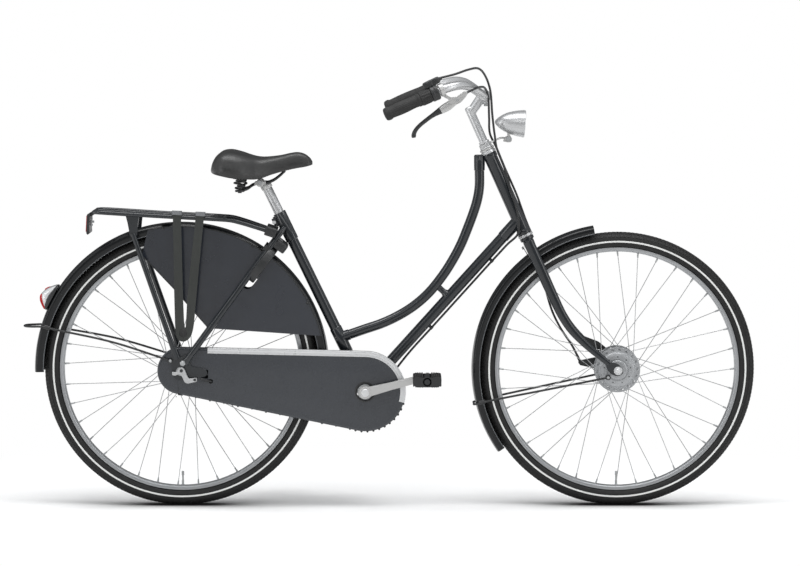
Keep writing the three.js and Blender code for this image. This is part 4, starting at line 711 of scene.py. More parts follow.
front_shell = turned([(5.4, -41), (11.5, -41), (13, -39.4), (21, -38.2), (24.5, -37.6), (25.6, -36.4),
    (25.8, -35.2), (27.6, -35.2), (28.4, -36.0), (30, -35.8), (43, -34.2), (44.6, -33.2), (45.6, -30.6),
    (47.5, -29.6), (47.5, -24.9), (36, -20), (34, -17), (34, 11), (36, 15), (47.5, 17.1), (47.5, 22),
    (44, 24), (5.4, 24)], FRONT, sides=96)
front_dots = []
for i in range(9):
    at = polar(FRONT, 34.5, 40 * i + 10, -35.6)
    front_dots.append(turned([(0.0, 0), (1.5, 0), (1.5, 0.5), (0.0, 0.5)], at, (0, -1, 0), 12))
piece("front_hub_shell", "front_wheel", "hub_alloy", [front_shell, slotted_flange(FRONT, -29.5, -24.6),
    slotted_flange(FRONT, 17.2, 22)], "front_hub", bevel=0.35, smooth=38)
piece("front_hub_marks", "front_wheel", "dark_steel", front_dots, smooth=35)
rear_shell = turned([(5.4, -48), (11.6, -48), (12, -47.5), (12, -38.4), (20, -36.5), (24, -34), (27, -30),
    (37, -28.4), (37.4, -27.6), (37.4, -23.6), (36.6, -23), (30.5, -21), (29, -19), (29, 21), (31, 23.6),
    (36.6, 25), (37.4, 25.8), (37.4, 29.4), (36.6, 30), (30, 32), (21, 42), (19, 43), (5.4, 43)], REAR,
    sides=96)
piece("rear_hub_shell", "rear_wheel", "hub_alloy", [rear_shell], "rear_hub", smooth=38)


def teeth_ring(axle, teeth, ring, tall, low, high, hole):
    """A toothed plate; ring is the radius on which the chain's pins run."""
    outline = []
    pitch_turn = 360 / teeth
    for i in range(teeth):
        for share, rise in ((-0.5, -0.5), (-0.34, -0.42), (-0.2, 0.1), (-0.09, 0.44), (0, 0.5),
                (0.09, 0.44), (0.2, 0.1), (0.34, -0.42)):
            outline.append(off_axis(axle, pitch_turn * (i + share), ring + rise * tall))
    return plate(outline, low, high, [disc(axle[0], axle[2], hole, 48)])


CHAIN_LINE, RING_TEETH, COG_TEETH, PITCH = 43.5, 38, 18, 12.7
RING = PITCH * RING_TEETH / (2 * math.pi)
COG = PITCH * COG_TEETH / (2 * math.pi)
piece("rear_cog", "sprocket", "dark_steel", [teeth_ring(REAR, COG_TEETH, COG, 6, -CHAIN_LINE - 1.3,
    -CHAIN_LINE + 1.3, 12.7)], "rear_sprocket", bevel=0.2, smooth=30)
print("hubs made")

# %% [markdown]
# The chain is closed links with round ends, inner and outer plates in turn, on two
# straight runs and round the two toothed wheels.

# %% Chain
slope = math.atan2(CRANK[2] - TYRE, CRANK[0])
lean = math.acos((RING - COG) / math.hypot(CRANK[0], CRANK[2] - TYRE))
OPEN = math.pi - lean


def belt_path(back_radius, front_radius, steps):
    """Points at even steps along a belt round the rear axle and the crank."""
    corners = []
    for k in range(161):
        t = slope - OPEN + 2 * OPEN * k / 160
        corners.append((CRANK[0] + front_radius * math.cos(t), CRANK[2] + front_radius * math.sin(t)))
    for k in range(81):
        t = slope + OPEN + (2 * math.pi - 2 * OPEN) * k / 80
        corners.append((back_radius * math.cos(t), TYRE + back_radius * math.sin(t)))
    corners.append(corners[0])
    lengths = [0.0]
    for p, q in zip(corners, corners[1:]):
        lengths.append(lengths[-1] + math.dist(p, q))
    out, i = [], 0
    for k in range(steps):
        want = lengths[-1] * k / steps
        while lengths[i + 1] < want:
            i += 1
        share = (want - lengths[i]) / (lengths[i + 1] - lengths[i])
        (x0, z0), (x1, z1) = corners[i], corners[i + 1]
        out.append((x0 + share * (x1 - x0), z0 + share * (z1 - z0)))
    return out, lengths[-1]


links = 2 * round(belt_path(COG, RING, 4)[1] / PITCH / 2)
pins, chain_length = belt_path(COG, RING, links)
chain_parts = []
for i in range(links):
    (x0, z0), (x1, z1) = pins[i], pins[(i + 1) % links]
    angle = math.degrees(math.atan2(z1 - z0, x1 - x0))
    out = 3.3 if i % 2 else 2.1
    shape = slot((x0 + x1) / 2, (z0 + z1) / 2, math.dist((x0, z0), (x1, z1)) / 2, 4.0, angle, 4)
    for side in (-1, 1):
        near = -CHAIN_LINE + side * out
        chain_parts.append(plate(shape, near - 0.5, near + 0.5))
    chain_parts.append(across(x0, z0, -CHAIN_LINE - 4.2, -CHAIN_LINE + 4.2, 1.8, 8))
piece("chain_links", "frame", "dark_steel", chain_parts, "chain", smooth=30)
print(links, "links,", round(chain_length / links, 2), "mm apart")

# %% [markdown]
# ## Frame
# The head tube leans at about 66 degrees. The curved top tube leaves it almost upright
# and sweeps down to the seat tube, which is why one can step through. Brazed sleeves
# hold the tubes, so the joints show a small step.

# %% Head tube, top tube and down tube
HEAD_LOW, HEAD_HIGH, HEAD_R, COLLAR = 420.0, 650.0, 17.5, 12.0
head_profile = [(14.3, HEAD_LOW), (18.6, HEAD_LOW), (19, HEAD_LOW + 0.5), (19, HEAD_LOW + COLLAR - 1),
    (17.7, HEAD_LOW + COLLAR + 1), (HEAD_R, HEAD_LOW + COLLAR + 2), (HEAD_R, HEAD_HIGH - COLLAR - 2),
    (17.7, HEAD_HIGH - COLLAR - 1), (19, HEAD_HIGH - COLLAR + 1), (19, HEAD_HIGH - 0.5), (18.6, HEAD_HIGH),
    (14.3, HEAD_HIGH)]
piece("head_tube_shell", "frame", "paint", [turned(head_profile, HEAD_FOOT, HEAD_UP, 56)], "head_tube",
    smooth=40)

TOP_ROUTE = [(774.5, 916), (774.5, 877), (774.3, 831), (768.5, 796), (759, 765), (745, 727), (727, 683),
    (706, 643), (680, 602), (643, 556), (603, 521), (561, 495), (520, 476), (476, 461), (440, 448.5),
    (400, 435)]
top_path = curve_through([(x, 0, z) for x, z in TOP_ROUTE], 5)
top_parts = [tube(top_path, 12.7, 32)]
top_parts.append(tube([(774.5, 0, 914.4), (774.5, 0, 913.6), (774.5, 0, 876.5), (774.5, 0, 875)],
    [13.6, 14.2, 14.2, 12.9], 32))
low_way = unit(np.array([440 - 400, 0, 448.5 - 435]))
low_at = np.array([400.0, 0, 435.0])
top_parts.append(tube([low_at, low_at + low_way * 38, low_at + low_way * 39.5], [14.2, 14.2, 12.9], 32))
piece("top_tube_bend", "frame", "paint", top_parts, "top_tube", smooth=40)

DOWN_WAY = unit(head(460) - CRANK)
DOWN_DROP = np.array([DOWN_WAY[2], 0, -DOWN_WAY[0]])


def down(t, drop=0.0, y=0.0):
    """A point so far along the down tube from the crank, below its line and to the left."""
    return CRANK + t * DOWN_WAY + drop * DOWN_DROP + y * Y_WAY


CABLE_DROP = 20.4
down_end = float(np.dot(head(460) - CRANK, DOWN_WAY))
down_parts = [rod(down(0), down(down_end), 14.3, sides=36), tube([down(down_end - 62), down(down_end - 60),
    down(down_end - 4)], [14.5, 15.8, 15.8], 36), tube([down(14), down(55), down(57)], [15.8, 15.8, 14.5],
    36)]
strut_path = [down(326, drop) for drop in (-8, -15, -19, -36, -40, -48)]
down_parts.append(tube(strut_path, [13, 10.5, 8, 8, 10, 12], 28))
piece("down_tube_shell", "frame", "paint", down_parts, "down_tube", smooth=42)
clips = []
for t in (235, 470):
    clips.append(rod(down(t, 12), down(t, CABLE_DROP - 2.9), 3.6, 4.2, 20))
    clips.append(tube([down(t + gap, CABLE_DROP) for gap in (-4.2, -4, 4, 4.2)], [2.9, 3.9, 3.9, 2.9], 20))
piece("cable_clips", "frame", "black_plastic", clips, smooth=40)

# %% [markdown]
# The seat tube carries the crank shell at its foot and a lug with a pinch bolt on top.
# The stays reach back to the slotted ends that hold the rear axle.

# %% Seat tube and stays
SEAT_LENGTH, SLEEVE = 513.0, 80.0
seat_parts = [rod(seat(0), seat(SEAT_LENGTH), 14.3, sides=40), tube([seat(SEAT_LENGTH - SLEEVE),
    seat(SEAT_LENGTH - SLEEVE + 2), seat(SEAT_LENGTH - 1), seat(SEAT_LENGTH)], [14.5, 16.6, 17, 16.2], 40),
    tube([seat(106), seat(108), seat(178), seat(180)], [14.4, 15.8, 15.8, 14.4], 40), turned([(17, -34),
    (19.4, -34), (20, -33.4), (20, 33.4), (19.4, 34), (17, 34)], CRANK, sides=48)]
bolt = seat(SEAT_LENGTH - 17, -22.4)
seat_parts.append(rod(seat(SEAT_LENGTH - 30, -13), seat(SEAT_LENGTH - 4, -13), 8))
for y in (-7, 7):
    seat_parts.append(tube([seat(SEAT_LENGTH - 27, -17, y), seat(SEAT_LENGTH - 7, -17, y)],
        [(2.5, 8.5)] * 2, 20))
piece("seat_tube_shell", "frame", "paint", seat_parts, "seat_tube", smooth=42)
binder = [across(bolt[0], bolt[2], -12.5, 12.5, 3.0), across(bolt[0], bolt[2], -14.5, -10, 4.8),
    across(bolt[0], bolt[2], 10, 14, 4.8, 6)]
piece("seat_binder_bolt", "frame", "alloy", binder, bevel=0.4)

RIGHT_STAY = [(458, -24, 304), (400, -29, 309), (360, -33.5, 314), (320, -39.6, 318.5),
    (280, -41.2, 323.5), (180, -41.5, 336), (100, -43.5, 346), (75, -46, 349), (46, -52, 353),
    (34, -56.5, 354)]
LEFT_STAY = [(458, 24, 304), (400, 29, 309), (350, 35, 316), (300, 38, 321), (180, 44, 336),
    (100, 51, 346), (46, 56, 353), (32, 59, 354)]
chain_stays = []
for route in (RIGHT_STAY, LEFT_STAY):
    path = curve_through(route, 5)
    count = len(path)
    chain_stays.append(tube(path, [8.5 if i < count - 8 else 8.5 - 0.55 * (i - count + 9)
        for i in range(count)], 20))
chain_stays.append(across(428, 306, -30, 30, 6, 20))
piece("chain_stay_pair", "frame", "paint", chain_stays, "chain_stays", smooth=45)

STAY_FOOT, STAY_HEAD = np.array([10.0, 0, 378.0]), np.array([269.0, 0, 730.0])
STAY_SPREAD = ((0, 68.5), (0.12, 68.3), (0.45, 56), (0.8, 41.5), (1, 21.5))
DROP_OUT_THICK = 4.5
DROP_OUT = [(-22, 352), (-14, 338), (12, 336), (44, 342), (66, 346), (66, 362), (44, 368), (28, 372),
    (24, 396), (14, 402), (2, 396), (-16, 398), (-22, 388)]
seat_stays = []
for side in (-1, 1):
    route = [STAY_FOOT + (STAY_HEAD - STAY_FOOT) * share + side * y * Y_WAY for share, y in STAY_SPREAD]
    path = curve_through(route, 7)
    count = len(path)
    radii = [(8.0, 8.0)] * count
    for i, flat in enumerate((3.6, 4.6, 6.2, 7.4)):
        radii[i] = (flat, 9.5 - 0.4 * i)
    radii[-1] = (5.5, 5.5)
    seat_stays.append(tube(path, radii))
    low = -64.5 if side < 0 else 60
    seat_stays.append(plate(soft_loop(DROP_OUT), low, low + DROP_OUT_THICK, [disc(0, TYRE, 5.4)]))
bridge = STAY_FOOT + (STAY_HEAD - STAY_FOOT) * 0.842
seat_stays.append(across(bridge[0], bridge[2], -41, 41, 5.5))
piece("seat_stay_pair", "frame", "paint", seat_stays, "seat_stays", bevel=0.4, smooth=45)
print("frame tubes made")

# %% [markdown]
# ## Fork and headset
# The fork blades are oval, they taper and curve forward at the foot, which gives the
# bicycle its rake. Two bright bearing cups close the head tube.

# %% Fork and headset
BLADE = ((402, 0, 41, 14, 9.5), (330, 0, 41.5, 14, 9.5), (260, 0, 42.5, 13.5, 9.2),
    (190, 2, 44, 12.5, 8.8), (145, 9.5, 46, 11.5, 8.2), (102, 24.5, 48.5, 10, 7.4), (72, 38, 50, 9, 6.8),
    (46, 51.3, 51.5, 8, 6), (24, 62, 52.5, 7, 4))
fork_parts = []
blade_keys = [np.array([s, f, y, long, wide]) for s, f, y, long, wide in BLADE]
blade_fine = curve_through(blade_keys, 5)
end_points = ((30, 52), (28, 68), (10, 85), (-10, 85), (-12, 68), (8, 52))
fork_end = [tuple(head(s, f)[[0, 2]]) for s, f in end_points]
eye = FRONT + np.array([-26, 0, -17])
for side in (-1, 1):
    path = [head(k[0], k[1], side * k[2]) for k in blade_fine]
    fork_parts.append(tube(path, [(k[4], k[3]) for k in blade_fine], 32))
    low = -54.5 if side < 0 else 50
    fork_parts.append(plate(soft_loop(fork_end, 5), low, low + DROP_OUT_THICK,
        [disc(FRONT[0], FRONT[2], 5.4)]))
    fork_parts.append(across(eye[0], eye[2], low, low + DROP_OUT_THICK, 7.5))


def oval_ring(centre, wide, wide_way, tall, tall_way, sides=40):
    return [centre + wide * math.cos(a) * wide_way + tall * math.sin(a) * tall_way
        for a in (2 * math.pi * (j + 0.5) / sides for j in range(sides))]


crown_keys = [np.array(k, float) for k in ((378, 12.4, 45.5), (381, 13.6, 48.2), (386, 14.6, 49),
    (392, 15, 46.5), (398, 15, 39), (402, 14.6, 30), (405, 14, 22), (407, 14, 17.5))]
crown_fine = curve_through(crown_keys, 4)
fork_parts.append(skin([oval_ring(head(k[0]), k[2], Y_WAY, k[1], HEAD_FRONT) for k in crown_fine]))
fork_parts.append(tube([head(s) for s in (403, 405, 410.4, 411)], [18, 18.6, 18.6, 17.8], 40))
fork_parts.append(rod(head(402), head(677), 12.7, sides=32))
piece("fork_shell", "steering", "paint", fork_parts, "fork", bevel=0.35, smooth=45)

cup_low = [(13.5, -8.6), (17, -8.6), (18.6, -7.6), (20, -5.6), (20.2, -4.2), (19.2, -3.2), (19.6, -2.4),
    (20, -1.2), (19.6, -0.3), (13.5, -0.3)]
piece("headset_cup_low", "frame", "chrome", [turned(cup_low, head(HEAD_LOW), HEAD_UP)],
    "headset_lower_cup")
cup_high = [(13.5, 0.3), (19.6, 0.3), (20, 1.4), (19.4, 2.6), (20.2, 3.6), (19.8, 5.2), (18.4, 6.6),
    (17.4, 8.4), (17.4, 10.4), (13.5, 10.6)]
piece("headset_cup_high", "frame", "chrome", [turned(cup_high, head(HEAD_HIGH), HEAD_UP)],
    "headset_upper_cup")
LOCK_LOW = HEAD_HIGH + 8.6 + 2 + 0.3 + 2.6 + 0.3
nut_height = 677 - LOCK_LOW
locknut = [turned([(13.5, 0), (16.6, 0), (17, 0.5), (17, 3), (16.2, 3.4), (16.2, nut_height),
    (13.5, nut_height)], head(LOCK_LOW), HEAD_UP), tube([head(LOCK_LOW + 3.6), head(LOCK_LOW + 4.2),
    head(LOCK_LOW + nut_height - 1.2), head(LOCK_LOW + nut_height - 0.4)], [16.0, 17, 17, 16.0], 8)]
piece("headset_nut", "steering", "chrome", locknut, "headset_locknut", bevel=0.3)

# %% [markdown]
# ## Fenders
# A fender is one rolled sheet: a crowned back, two soft shoulders and a bead along each
# edge. The same section is swept round the wheel. A thin lighter tube along each skirt
# edge is a painted highlight line.

# %% Fenders and their stays
def hoop(axle, section, start, end, steps):
    rings = []
    for i in range(steps + 1):
        t = start + (end - start) * i / steps
        rings.append([polar(axle, r, t, y) for y, r in section])
    return skin(rings)


def fender_section(half, outer, skirt):
    keys = [(half, outer - skirt), (half + 0.1, outer - 11), (half - 0.6, outer - 7.6),
        (half * 0.86, outer - 4.4), (half * 0.66, outer - 2.2), (half * 0.42, outer - 1.2),
        (half * 0.3, outer - 0.5), (half * 0.14, outer - 0.05), (0, outer)]
    out = [(k[0], k[1]) for k in curve_through(keys, 3)]
    bead = [(half - 2.6, outer - skirt + 0.9), (half - 2.2, outer - skirt - 0.9),
        (half - 0.9, outer - skirt - 1.2)]
    mirrored = [(-y, r) for y, r in reversed(out[:-1])]
    inside = [(y - 1.3, r - 1.2) if y > 1.5 else (y, r - 1.3) for y, r in out[2:]]
    inside_mirrored = [(-y, r) for y, r in inside[:-1]]
    return (out + mirrored + [(-y, r) for y, r in reversed(bead)] + inside_mirrored + [inside[-1]]
        + list(reversed(inside[:-1])) + bead)


FRONT_FENDER, REAR_FENDER = (28.0, 379.5), (28.5, 384.0)
FRONT_SKIRT, REAR_SKIRT = 21.0, 25.0
front_fender = hoop(FRONT, fender_section(*FRONT_FENDER, FRONT_SKIRT), 99.7, 215, 110)
tab = tube([head(365, -15.6), head(370, -16.6), head(389, -18.4), head(392, -18.4)], [(9, 1.2)] * 4, 16)
piece("front_fender_sheet", "steering", "fender_paint", [front_fender, tab], "front_fender", smooth=42)
piece("rear_fender_sheet", "frame", "fender_paint", [hoop(REAR, fender_section(*REAR_FENDER, REAR_SKIRT),
    3.5, 181, 170)], "rear_fender", smooth=42)
# Thin tubes in a lighter grey along both skirt edges: a painted highlight line on each fender edge.
HIGHLIGHT_BEADS = (("front", "steering", FRONT, FRONT_FENDER, FRONT_SKIRT, 100, 214.8), ("rear", "frame", REAR,
    REAR_FENDER, REAR_SKIRT, 3.7, 180.8))
for name, body, axle, (half, outer), skirt, start, end in HIGHLIGHT_BEADS:
    highlight_beads = [tube([polar(axle, outer - skirt + 0.4, start + (end - start) * k / 120, side * (half + 0.1))
        for k in range(121)], 1.3, 8) for side in (-1, 1)]
    piece(name + "_fender_highlight_bead", body, "bead_painted_highlight", highlight_beads, smooth=60)
piece("front_fender_bolt", "steering", "zinc", [tube([head(388, -17.5), head(388, -22.5)], 3.6, 6),
    tube([head(388, -17.6), head(388, -18.8)], 5.2, 20)], bevel=0.4)


WIRE, LOOP_FROM = 2.8, 10
END_SIZES = ((1.0, 4.0), (2.6, 5.6), (2.6, 5.6), (1.0, 4.0))


def stay_path(axle, foot, half, outer, angle, reach, apart):
    """A wire from one foot round the fender to the other; a long reach makes an open loop behind it."""
    clear = half + WIRE + apart
    start = np.array([axle[0] + foot[0], foot[1], axle[2] + foot[2]])
    lower = 2.4 if reach > LOOP_FROM else 0
    near = polar(axle, outer - 40, angle - lower, clear)
    middle = (start + near) / 2 + np.array([0, 1.5, 8.0 if foot[2] > 0 else 0])
    tip = polar(axle, outer + reach, angle)
    round_end = [tip + np.array([reach * share, half * wide, 0])
        for share, wide in ((0.5, 1.02), (0.14, 0.72), (0, 0.3))]
    if reach < LOOP_FROM:
        round_end = [polar(axle, outer + reach, angle, y) for y in (half - 2, half * 0.5)]
    side_path = [start, middle, near, polar(axle, outer - 6, angle - lower * 0.8, clear)] + round_end
    mirror = np.array([1, -1, 1])
    return curve_through([p * mirror for p in side_path] + side_path[::-1], 9)


stays = (("front_stay", "steering", "front_fender_stay", FRONT, (-26, 57, -17), 28.0, 379.5, 193.7, 4.3,
    2.4), ("rear_stay", "frame", "rear_fender_stay", REAR, (-26, 67, 28), 28.5, 384.0, 164.6, 40.5, 0.6))
for name, body, node, axle, foot, half, outer, angle, reach, apart in stays:
    path = stay_path(axle, foot, half, outer, angle, reach, apart)
    piece(name + "_wire", body, "cable_black", [tube(path, WIRE, 14)], node)
    feet, fittings = [], []
    for side in (-1, 1):
        x, z = axle[0] + foot[0], axle[2] + foot[2]
        feet.append(tube([(x, side * (foot[1] + d), z) for d in (-3.4, -3, 2.4, 2.8)],
            [5.2, 5.8, 5.8, 5.2], 20))
        fittings.append(across(x, z, side * (foot[1] + 2), side * (foot[1] + 5.6), 4.0, 6))
        held = angle - (2.1 if reach > LOOP_FROM else 0)
        at = polar(axle, outer - 10, held, side * (half + 0.4))
        way = polar(axle, outer - 26, held, side * (half + 0.4))
        feet.append(tube([way, way + (at - way) * 0.1, at, at + (at - way) * 0.1], END_SIZES, 16))
    piece(name + "_ends", body, "black_plastic", feet, bevel=0.3)
    piece(name + "_bolts", body, "zinc", fittings, bevel=0.5)
print("fenders made")

# %% [markdown]
# The rear lamp sits on the fender: a black foot, a pale case with a grey strip along it
# and a red lens outside. A flat reflector hangs from the back of the carrier.

# %% Rear lamp and reflector
LAMP_TURN, LAMP_FOOT = 151.0, 385.0
lamp_out = polar(np.zeros(3), 1, LAMP_TURN)
lamp_up = np.array([lamp_out[2], 0, -lamp_out[0]])


def lamp_body(profile, half_width):
    """A profile of [up along the fender, radius] points, drawn in towards both sides."""
    line = soft_loop(profile)
    rings = []
    for k in range(-8, 9):
        share = k / 8
        round_in = (1 - 0.92 * abs(share) ** 5) ** 0.5
        tall, long = 0.35 + 0.65 * round_in, 0.7 + 0.3 * round_in
        rings.append([REAR + lamp_out * (LAMP_FOOT + (r - LAMP_FOOT) * tall)
            + lamp_up * s * long + Y_WAY * half_width * share for s, r in line])
    return skin(rings)


lamp_foot = [(36, 383.6), (36.4, 388), (22, 395), (8, 399), (-8, 399.4), (-20, 397), (-34, 388.6),
    (-36, 383.2), (-18, 383.2), (0, 383.4), (18, 383.4)]
lamp_case = [(35, 389.4), (27, 397), (16, 405.5), (4, 411), (-8, 413.4), (-17, 408), (-31, 392),
    (-20, 397.8), (-8, 400), (8, 399.6), (22, 395.6)]
lamp_strip = [(35, 391), (27, 398.6), (16, 407.4), (4, 412.8), (-8, 415.4), (-8, 413), (4, 410.4),
    (16, 404.8), (27, 396.4), (34, 389.8)]
lamp_glass = [(-2, 413.2), (-8, 415.6), (-14, 414.4), (-22, 409.6), (-31, 399), (-37, 388.4), (-31, 391),
    (-24, 399), (-16, 404.6), (-9, 407)]
lamp_top = [(22, 404.4), (16, 409.6), (9, 412.8), (9, 409), (16, 405), (21, 401)]
piece("rear_lamp_foot", "frame", "black_plastic", [lamp_body(lamp_foot, 24)], "rear_lamp", smooth=40)
piece("rear_lamp_case", "frame", "bright_trim", [lamp_body(lamp_case, 22)], smooth=50)
piece("rear_lamp_strip", "frame", "zinc", [lamp_body(lamp_strip, 18)], smooth=50)
piece("rear_lamp_red", "frame", "red_lens", [lamp_body(lamp_glass, 20), lamp_body(lamp_top, 8)],
    "rear_lamp_lens", smooth=50)

RACK_BACK = -222.0


def rail_height(x):
    return 758 - 0.055 * x


reflector_top = rail_height(RACK_BACK) - 6
REFLECTOR = RACK_BACK - 6.5


def at_reflector(points):
    return [(REFLECTOR + x, reflector_top + z) for x, z in points]


holder = at_reflector([(-5.5, 3.6), (-5.8, -20), (-8, -24), (-7, -50), (-12, -54), (-15.5, -50), (-13, -1)])
piece("reflector_holder", "frame", "black_plastic", [plate(holder, -38, 38)], "rear_reflector", bevel=1.0)
piece("reflector_face", "frame", "red_lens", [plate(at_reflector([(-12.6, -4), (-15, -46), (-17.2, -46),
    (-14.8, -4)]), -35, 35)], bevel=0.6)
screws = []
for drop, reach in ((14, 6), (22, 10), (30, 6)):
    screws.append(tube([(REFLECTOR - 8, 0, reflector_top - drop), (REFLECTOR - 8 + reach, 0,
        reflector_top - drop)], 3.0, 16))
hooks = [plate(at_reflector([(-7, -8), (-7, 2), (4, 6), (6, 2), (-1, -6)]), y - 5, y + 5)
    for y in (-20, 20)]
piece("reflector_hooks", "frame", "black_plastic", hooks, bevel=0.5)
piece("reflector_screws", "frame", "zinc", screws, bevel=0.4)

# %% [markdown]
# ## Chain case
# The chain runs in a closed case, so that skirts and trousers stay clean. Its shell is
# two halves with a seam, its top edge carries a bright strip, and small clips and ribs
# hold the halves together below.

# %% Chain case
CASE_BACK, CASE_FRONT = (0.0, TYRE, 61.0), (CRANK[0], CRANK[2], 104.0)
case_slope = math.degrees(math.atan2(CASE_FRONT[1] - CASE_BACK[1], CASE_FRONT[0] - CASE_BACK[0]))
case_reach = math.hypot(CASE_FRONT[1] - CASE_BACK[1], CASE_FRONT[0] - CASE_BACK[0])
case_open = 180 - math.degrees(math.acos((CASE_FRONT[2] - CASE_BACK[2]) / case_reach))


def case_outline(grow):
    return (arc(*CASE_FRONT[:2], CASE_FRONT[2] + grow, case_slope - case_open, case_slope + case_open, 56)
        + arc(*CASE_BACK[:2], CASE_BACK[2] + grow, case_slope + case_open, case_slope + 360 - case_open,
        24))


def case_ring(y, grow):
    return [np.array([x, y, z]) for x, z in case_outline(grow)]


def sheet(outline, face_y, thick, holes=(), spacing=12.0, bulge=None):
    """A thin sheet in X and Z with inner points, so that it can be gently curved."""
    loops = [list(outline)] + [list(h) for h in holes]
    points, edges = [], []
    for loop in loops:
        start = len(points)
        points += [Vector(p) for p in loop]
        edges += [(start + i, start + (i + 1) % len(loop)) for i in range(len(loop))]
    xs, zs = [p[0] for p in outline], [p[1] for p in outline]

    def inside(x, z, loop):
        hit = False
        for (x0, z0), (x1, z1) in zip(loop, loop[1:] + loop[:1]):
            if (z0 > z) != (z1 > z) and x < (x1 - x0) * (z - z0) / (z1 - z0) + x0:
                hit = not hit
        return hit

    def far(x, z):
        for loop in loops:
            for (x0, z0), (x1, z1) in zip(loop, loop[1:] + loop[:1]):
                dx, dz = x1 - x0, z1 - z0
                t = max(0.0, min(1.0, ((x - x0) * dx + (z - z0) * dz) / (dx * dx + dz * dz)))
                if math.hypot(x - x0 - t * dx, z - z0 - t * dz) < spacing * 0.45:
                    return False
        return True

    x = min(xs) + spacing / 2
    while x < max(xs):
        z = min(zs) + spacing / 2
        while z < max(zs):
            if inside(x, z, loops[0]) and not any(inside(x, z, h) for h in loops[1:]) and far(x, z):
                points.append(Vector((x, z)))
            z += spacing
        x += spacing
    found, _, faces, _, _, _ = geometry.delaunay_2d_cdt(points, edges, [], 0, 1e-4)
    kept = []
    for f in faces:
        cx = sum(found[i].x for i in f) / len(f)
        cz = sum(found[i].y for i in f) / len(f)
        if inside(cx, cz, loops[0]) and not any(inside(cx, cz, h) for h in loops[1:]):
            kept.append(tuple(f))
    count = len(found)
    lift = [bulge(p.x, p.y) if bulge else 0.0 for p in found]
    verts = [(p.x, face_y + b, p.y) for p, b in zip(found, lift)] + [(p.x, face_y + thick + b, p.y)
        for p, b in zip(found, lift)]
    sides = {}
    for f in kept:
        for a, b in zip(f, f[1:] + f[:1]):
            sides[(a, b)] = sides.get((a, b), 0) + 1
    walls = [(a, b, b + count, a + count) for (a, b) in sides if (b, a) not in sides]
    return verts, kept + [tuple(i + count for i in reversed(f)) for f in kept] + walls


def edge_distance(x, z):
    """How far a point lies inside the case outline."""
    t = max(0.0, min(1.0, (x - CASE_BACK[0]) / (CASE_FRONT[0] - CASE_BACK[0])))
    best = -1e9
    for k in range(-4, 5):
        u = max(0.0, min(1.0, t + k * 0.02))
        cx = CASE_BACK[0] + u * (CASE_FRONT[0] - CASE_BACK[0])
        cz = CASE_BACK[1] + u * (CASE_FRONT[1] - CASE_BACK[1])
        r = CASE_BACK[2] + u * (CASE_FRONT[2] - CASE_BACK[2])
        best = max(best, r - math.hypot(x - cx, z - cz))
    return best


def case_crown(x, z):
    share = max(0.0, min(1.0, (edge_distance(x, z) - 12) / 45))
    return -1.1 * share * share * (3 - 2 * share)


shell_rings = [case_ring(y, g) for y, g in ((-38.2, 0), (-54, 0), (-56.6, -0.4), (-58.2, -1.6),
    (-59.1, -3.6), (-59.2, -7), (-57.7, -7), (-57.2, -3.6), (-55.5, -1.9), (-38.2, -1.5))]
face_holes = [disc(CRANK[0], CRANK[2], 23, 48), disc(0, TYRE, 12, 32), disc(77.5, 331.5, 6)]
stay_gate = [(42, 343), (71, 339), (71, 361), (42, 365)]
case_parts = [skin(shell_rings, closed=True), sheet(case_outline(-6.5), -59.2, 1.5,
    face_holes + [stay_gate], 14, case_crown)]
piece("chain_case_outer", "frame", "case_plastic", case_parts, "chaincase_outer", smooth=40)
inner_rings = [case_ring(y, g) for y, g in ((-37.7, 0), (-33, 0), (-31, -1), (-30, -3), (-30, -6),
    (-31.5, -6), (-37.7, -1.5))]
inner_face = sheet(case_outline(-5.5), -31.5, 1.5, [disc(0, TYRE, 38, 32), [(266, 311), (462, 290.5),
    (462, 286), (470, 281), (486, 281), (500, 292), (500, 316), (486, 327), (470, 327), (462, 321),
    (266, 338)]], 24)
piece("chain_case_inner", "frame", "case_plastic", [skin(inner_rings, closed=True), inner_face],
    "chaincase_inner", smooth=40)

hole_ring = [(23.2, -60.4), (25.6, -60.8), (27.2, -60.2), (27.4, -59.4), (23.0, -59.2), (22.8, -58.4),
    (21.4, -58.2), (21.4, -59.6)]
piece("chain_case_hole_ring", "frame", "black_plastic", [turned(hole_ring, CRANK, sides=64)], smooth=40)
clip_parts = []
a0 = np.array([polar(np.array([0, 0, TYRE]), 61.8, case_slope - case_open)[i] for i in (0, 2)])
a1 = np.array([polar(CRANK, 104.8, case_slope - case_open)[i] for i in (0, 2)])
for i in range(13):
    at = a0 + (a1 - a0) * (0.03 + 0.93 * i / 12)
    r = 3.0 if i % 2 == 0 else 2.1
    clip_parts.append(across(at[0], at[1], -44, -33, r, 16))
for i in range(11):
    clip_parts.append(across(*off_axis(CRANK, -18 - 8.6 * i, 104.2), -57.2, -41, 2.9, 14))
piece("chain_case_clips", "frame", "black_plastic", clip_parts, bevel=0.4)
seam = [plate([(-7.6, 300.5), (-6.6, 300), (-6.6, 346), (-7.6, 346)], -59.5, -59),
    plate(slot(-12, 291, 0.1, 1.2, 90), -59.5, -58.5), plate(slot(-4, 296.6, 2.4, 1.6, -8), -60.2, -50)]
piece("chain_case_seam", "frame", "cable_black", seam)

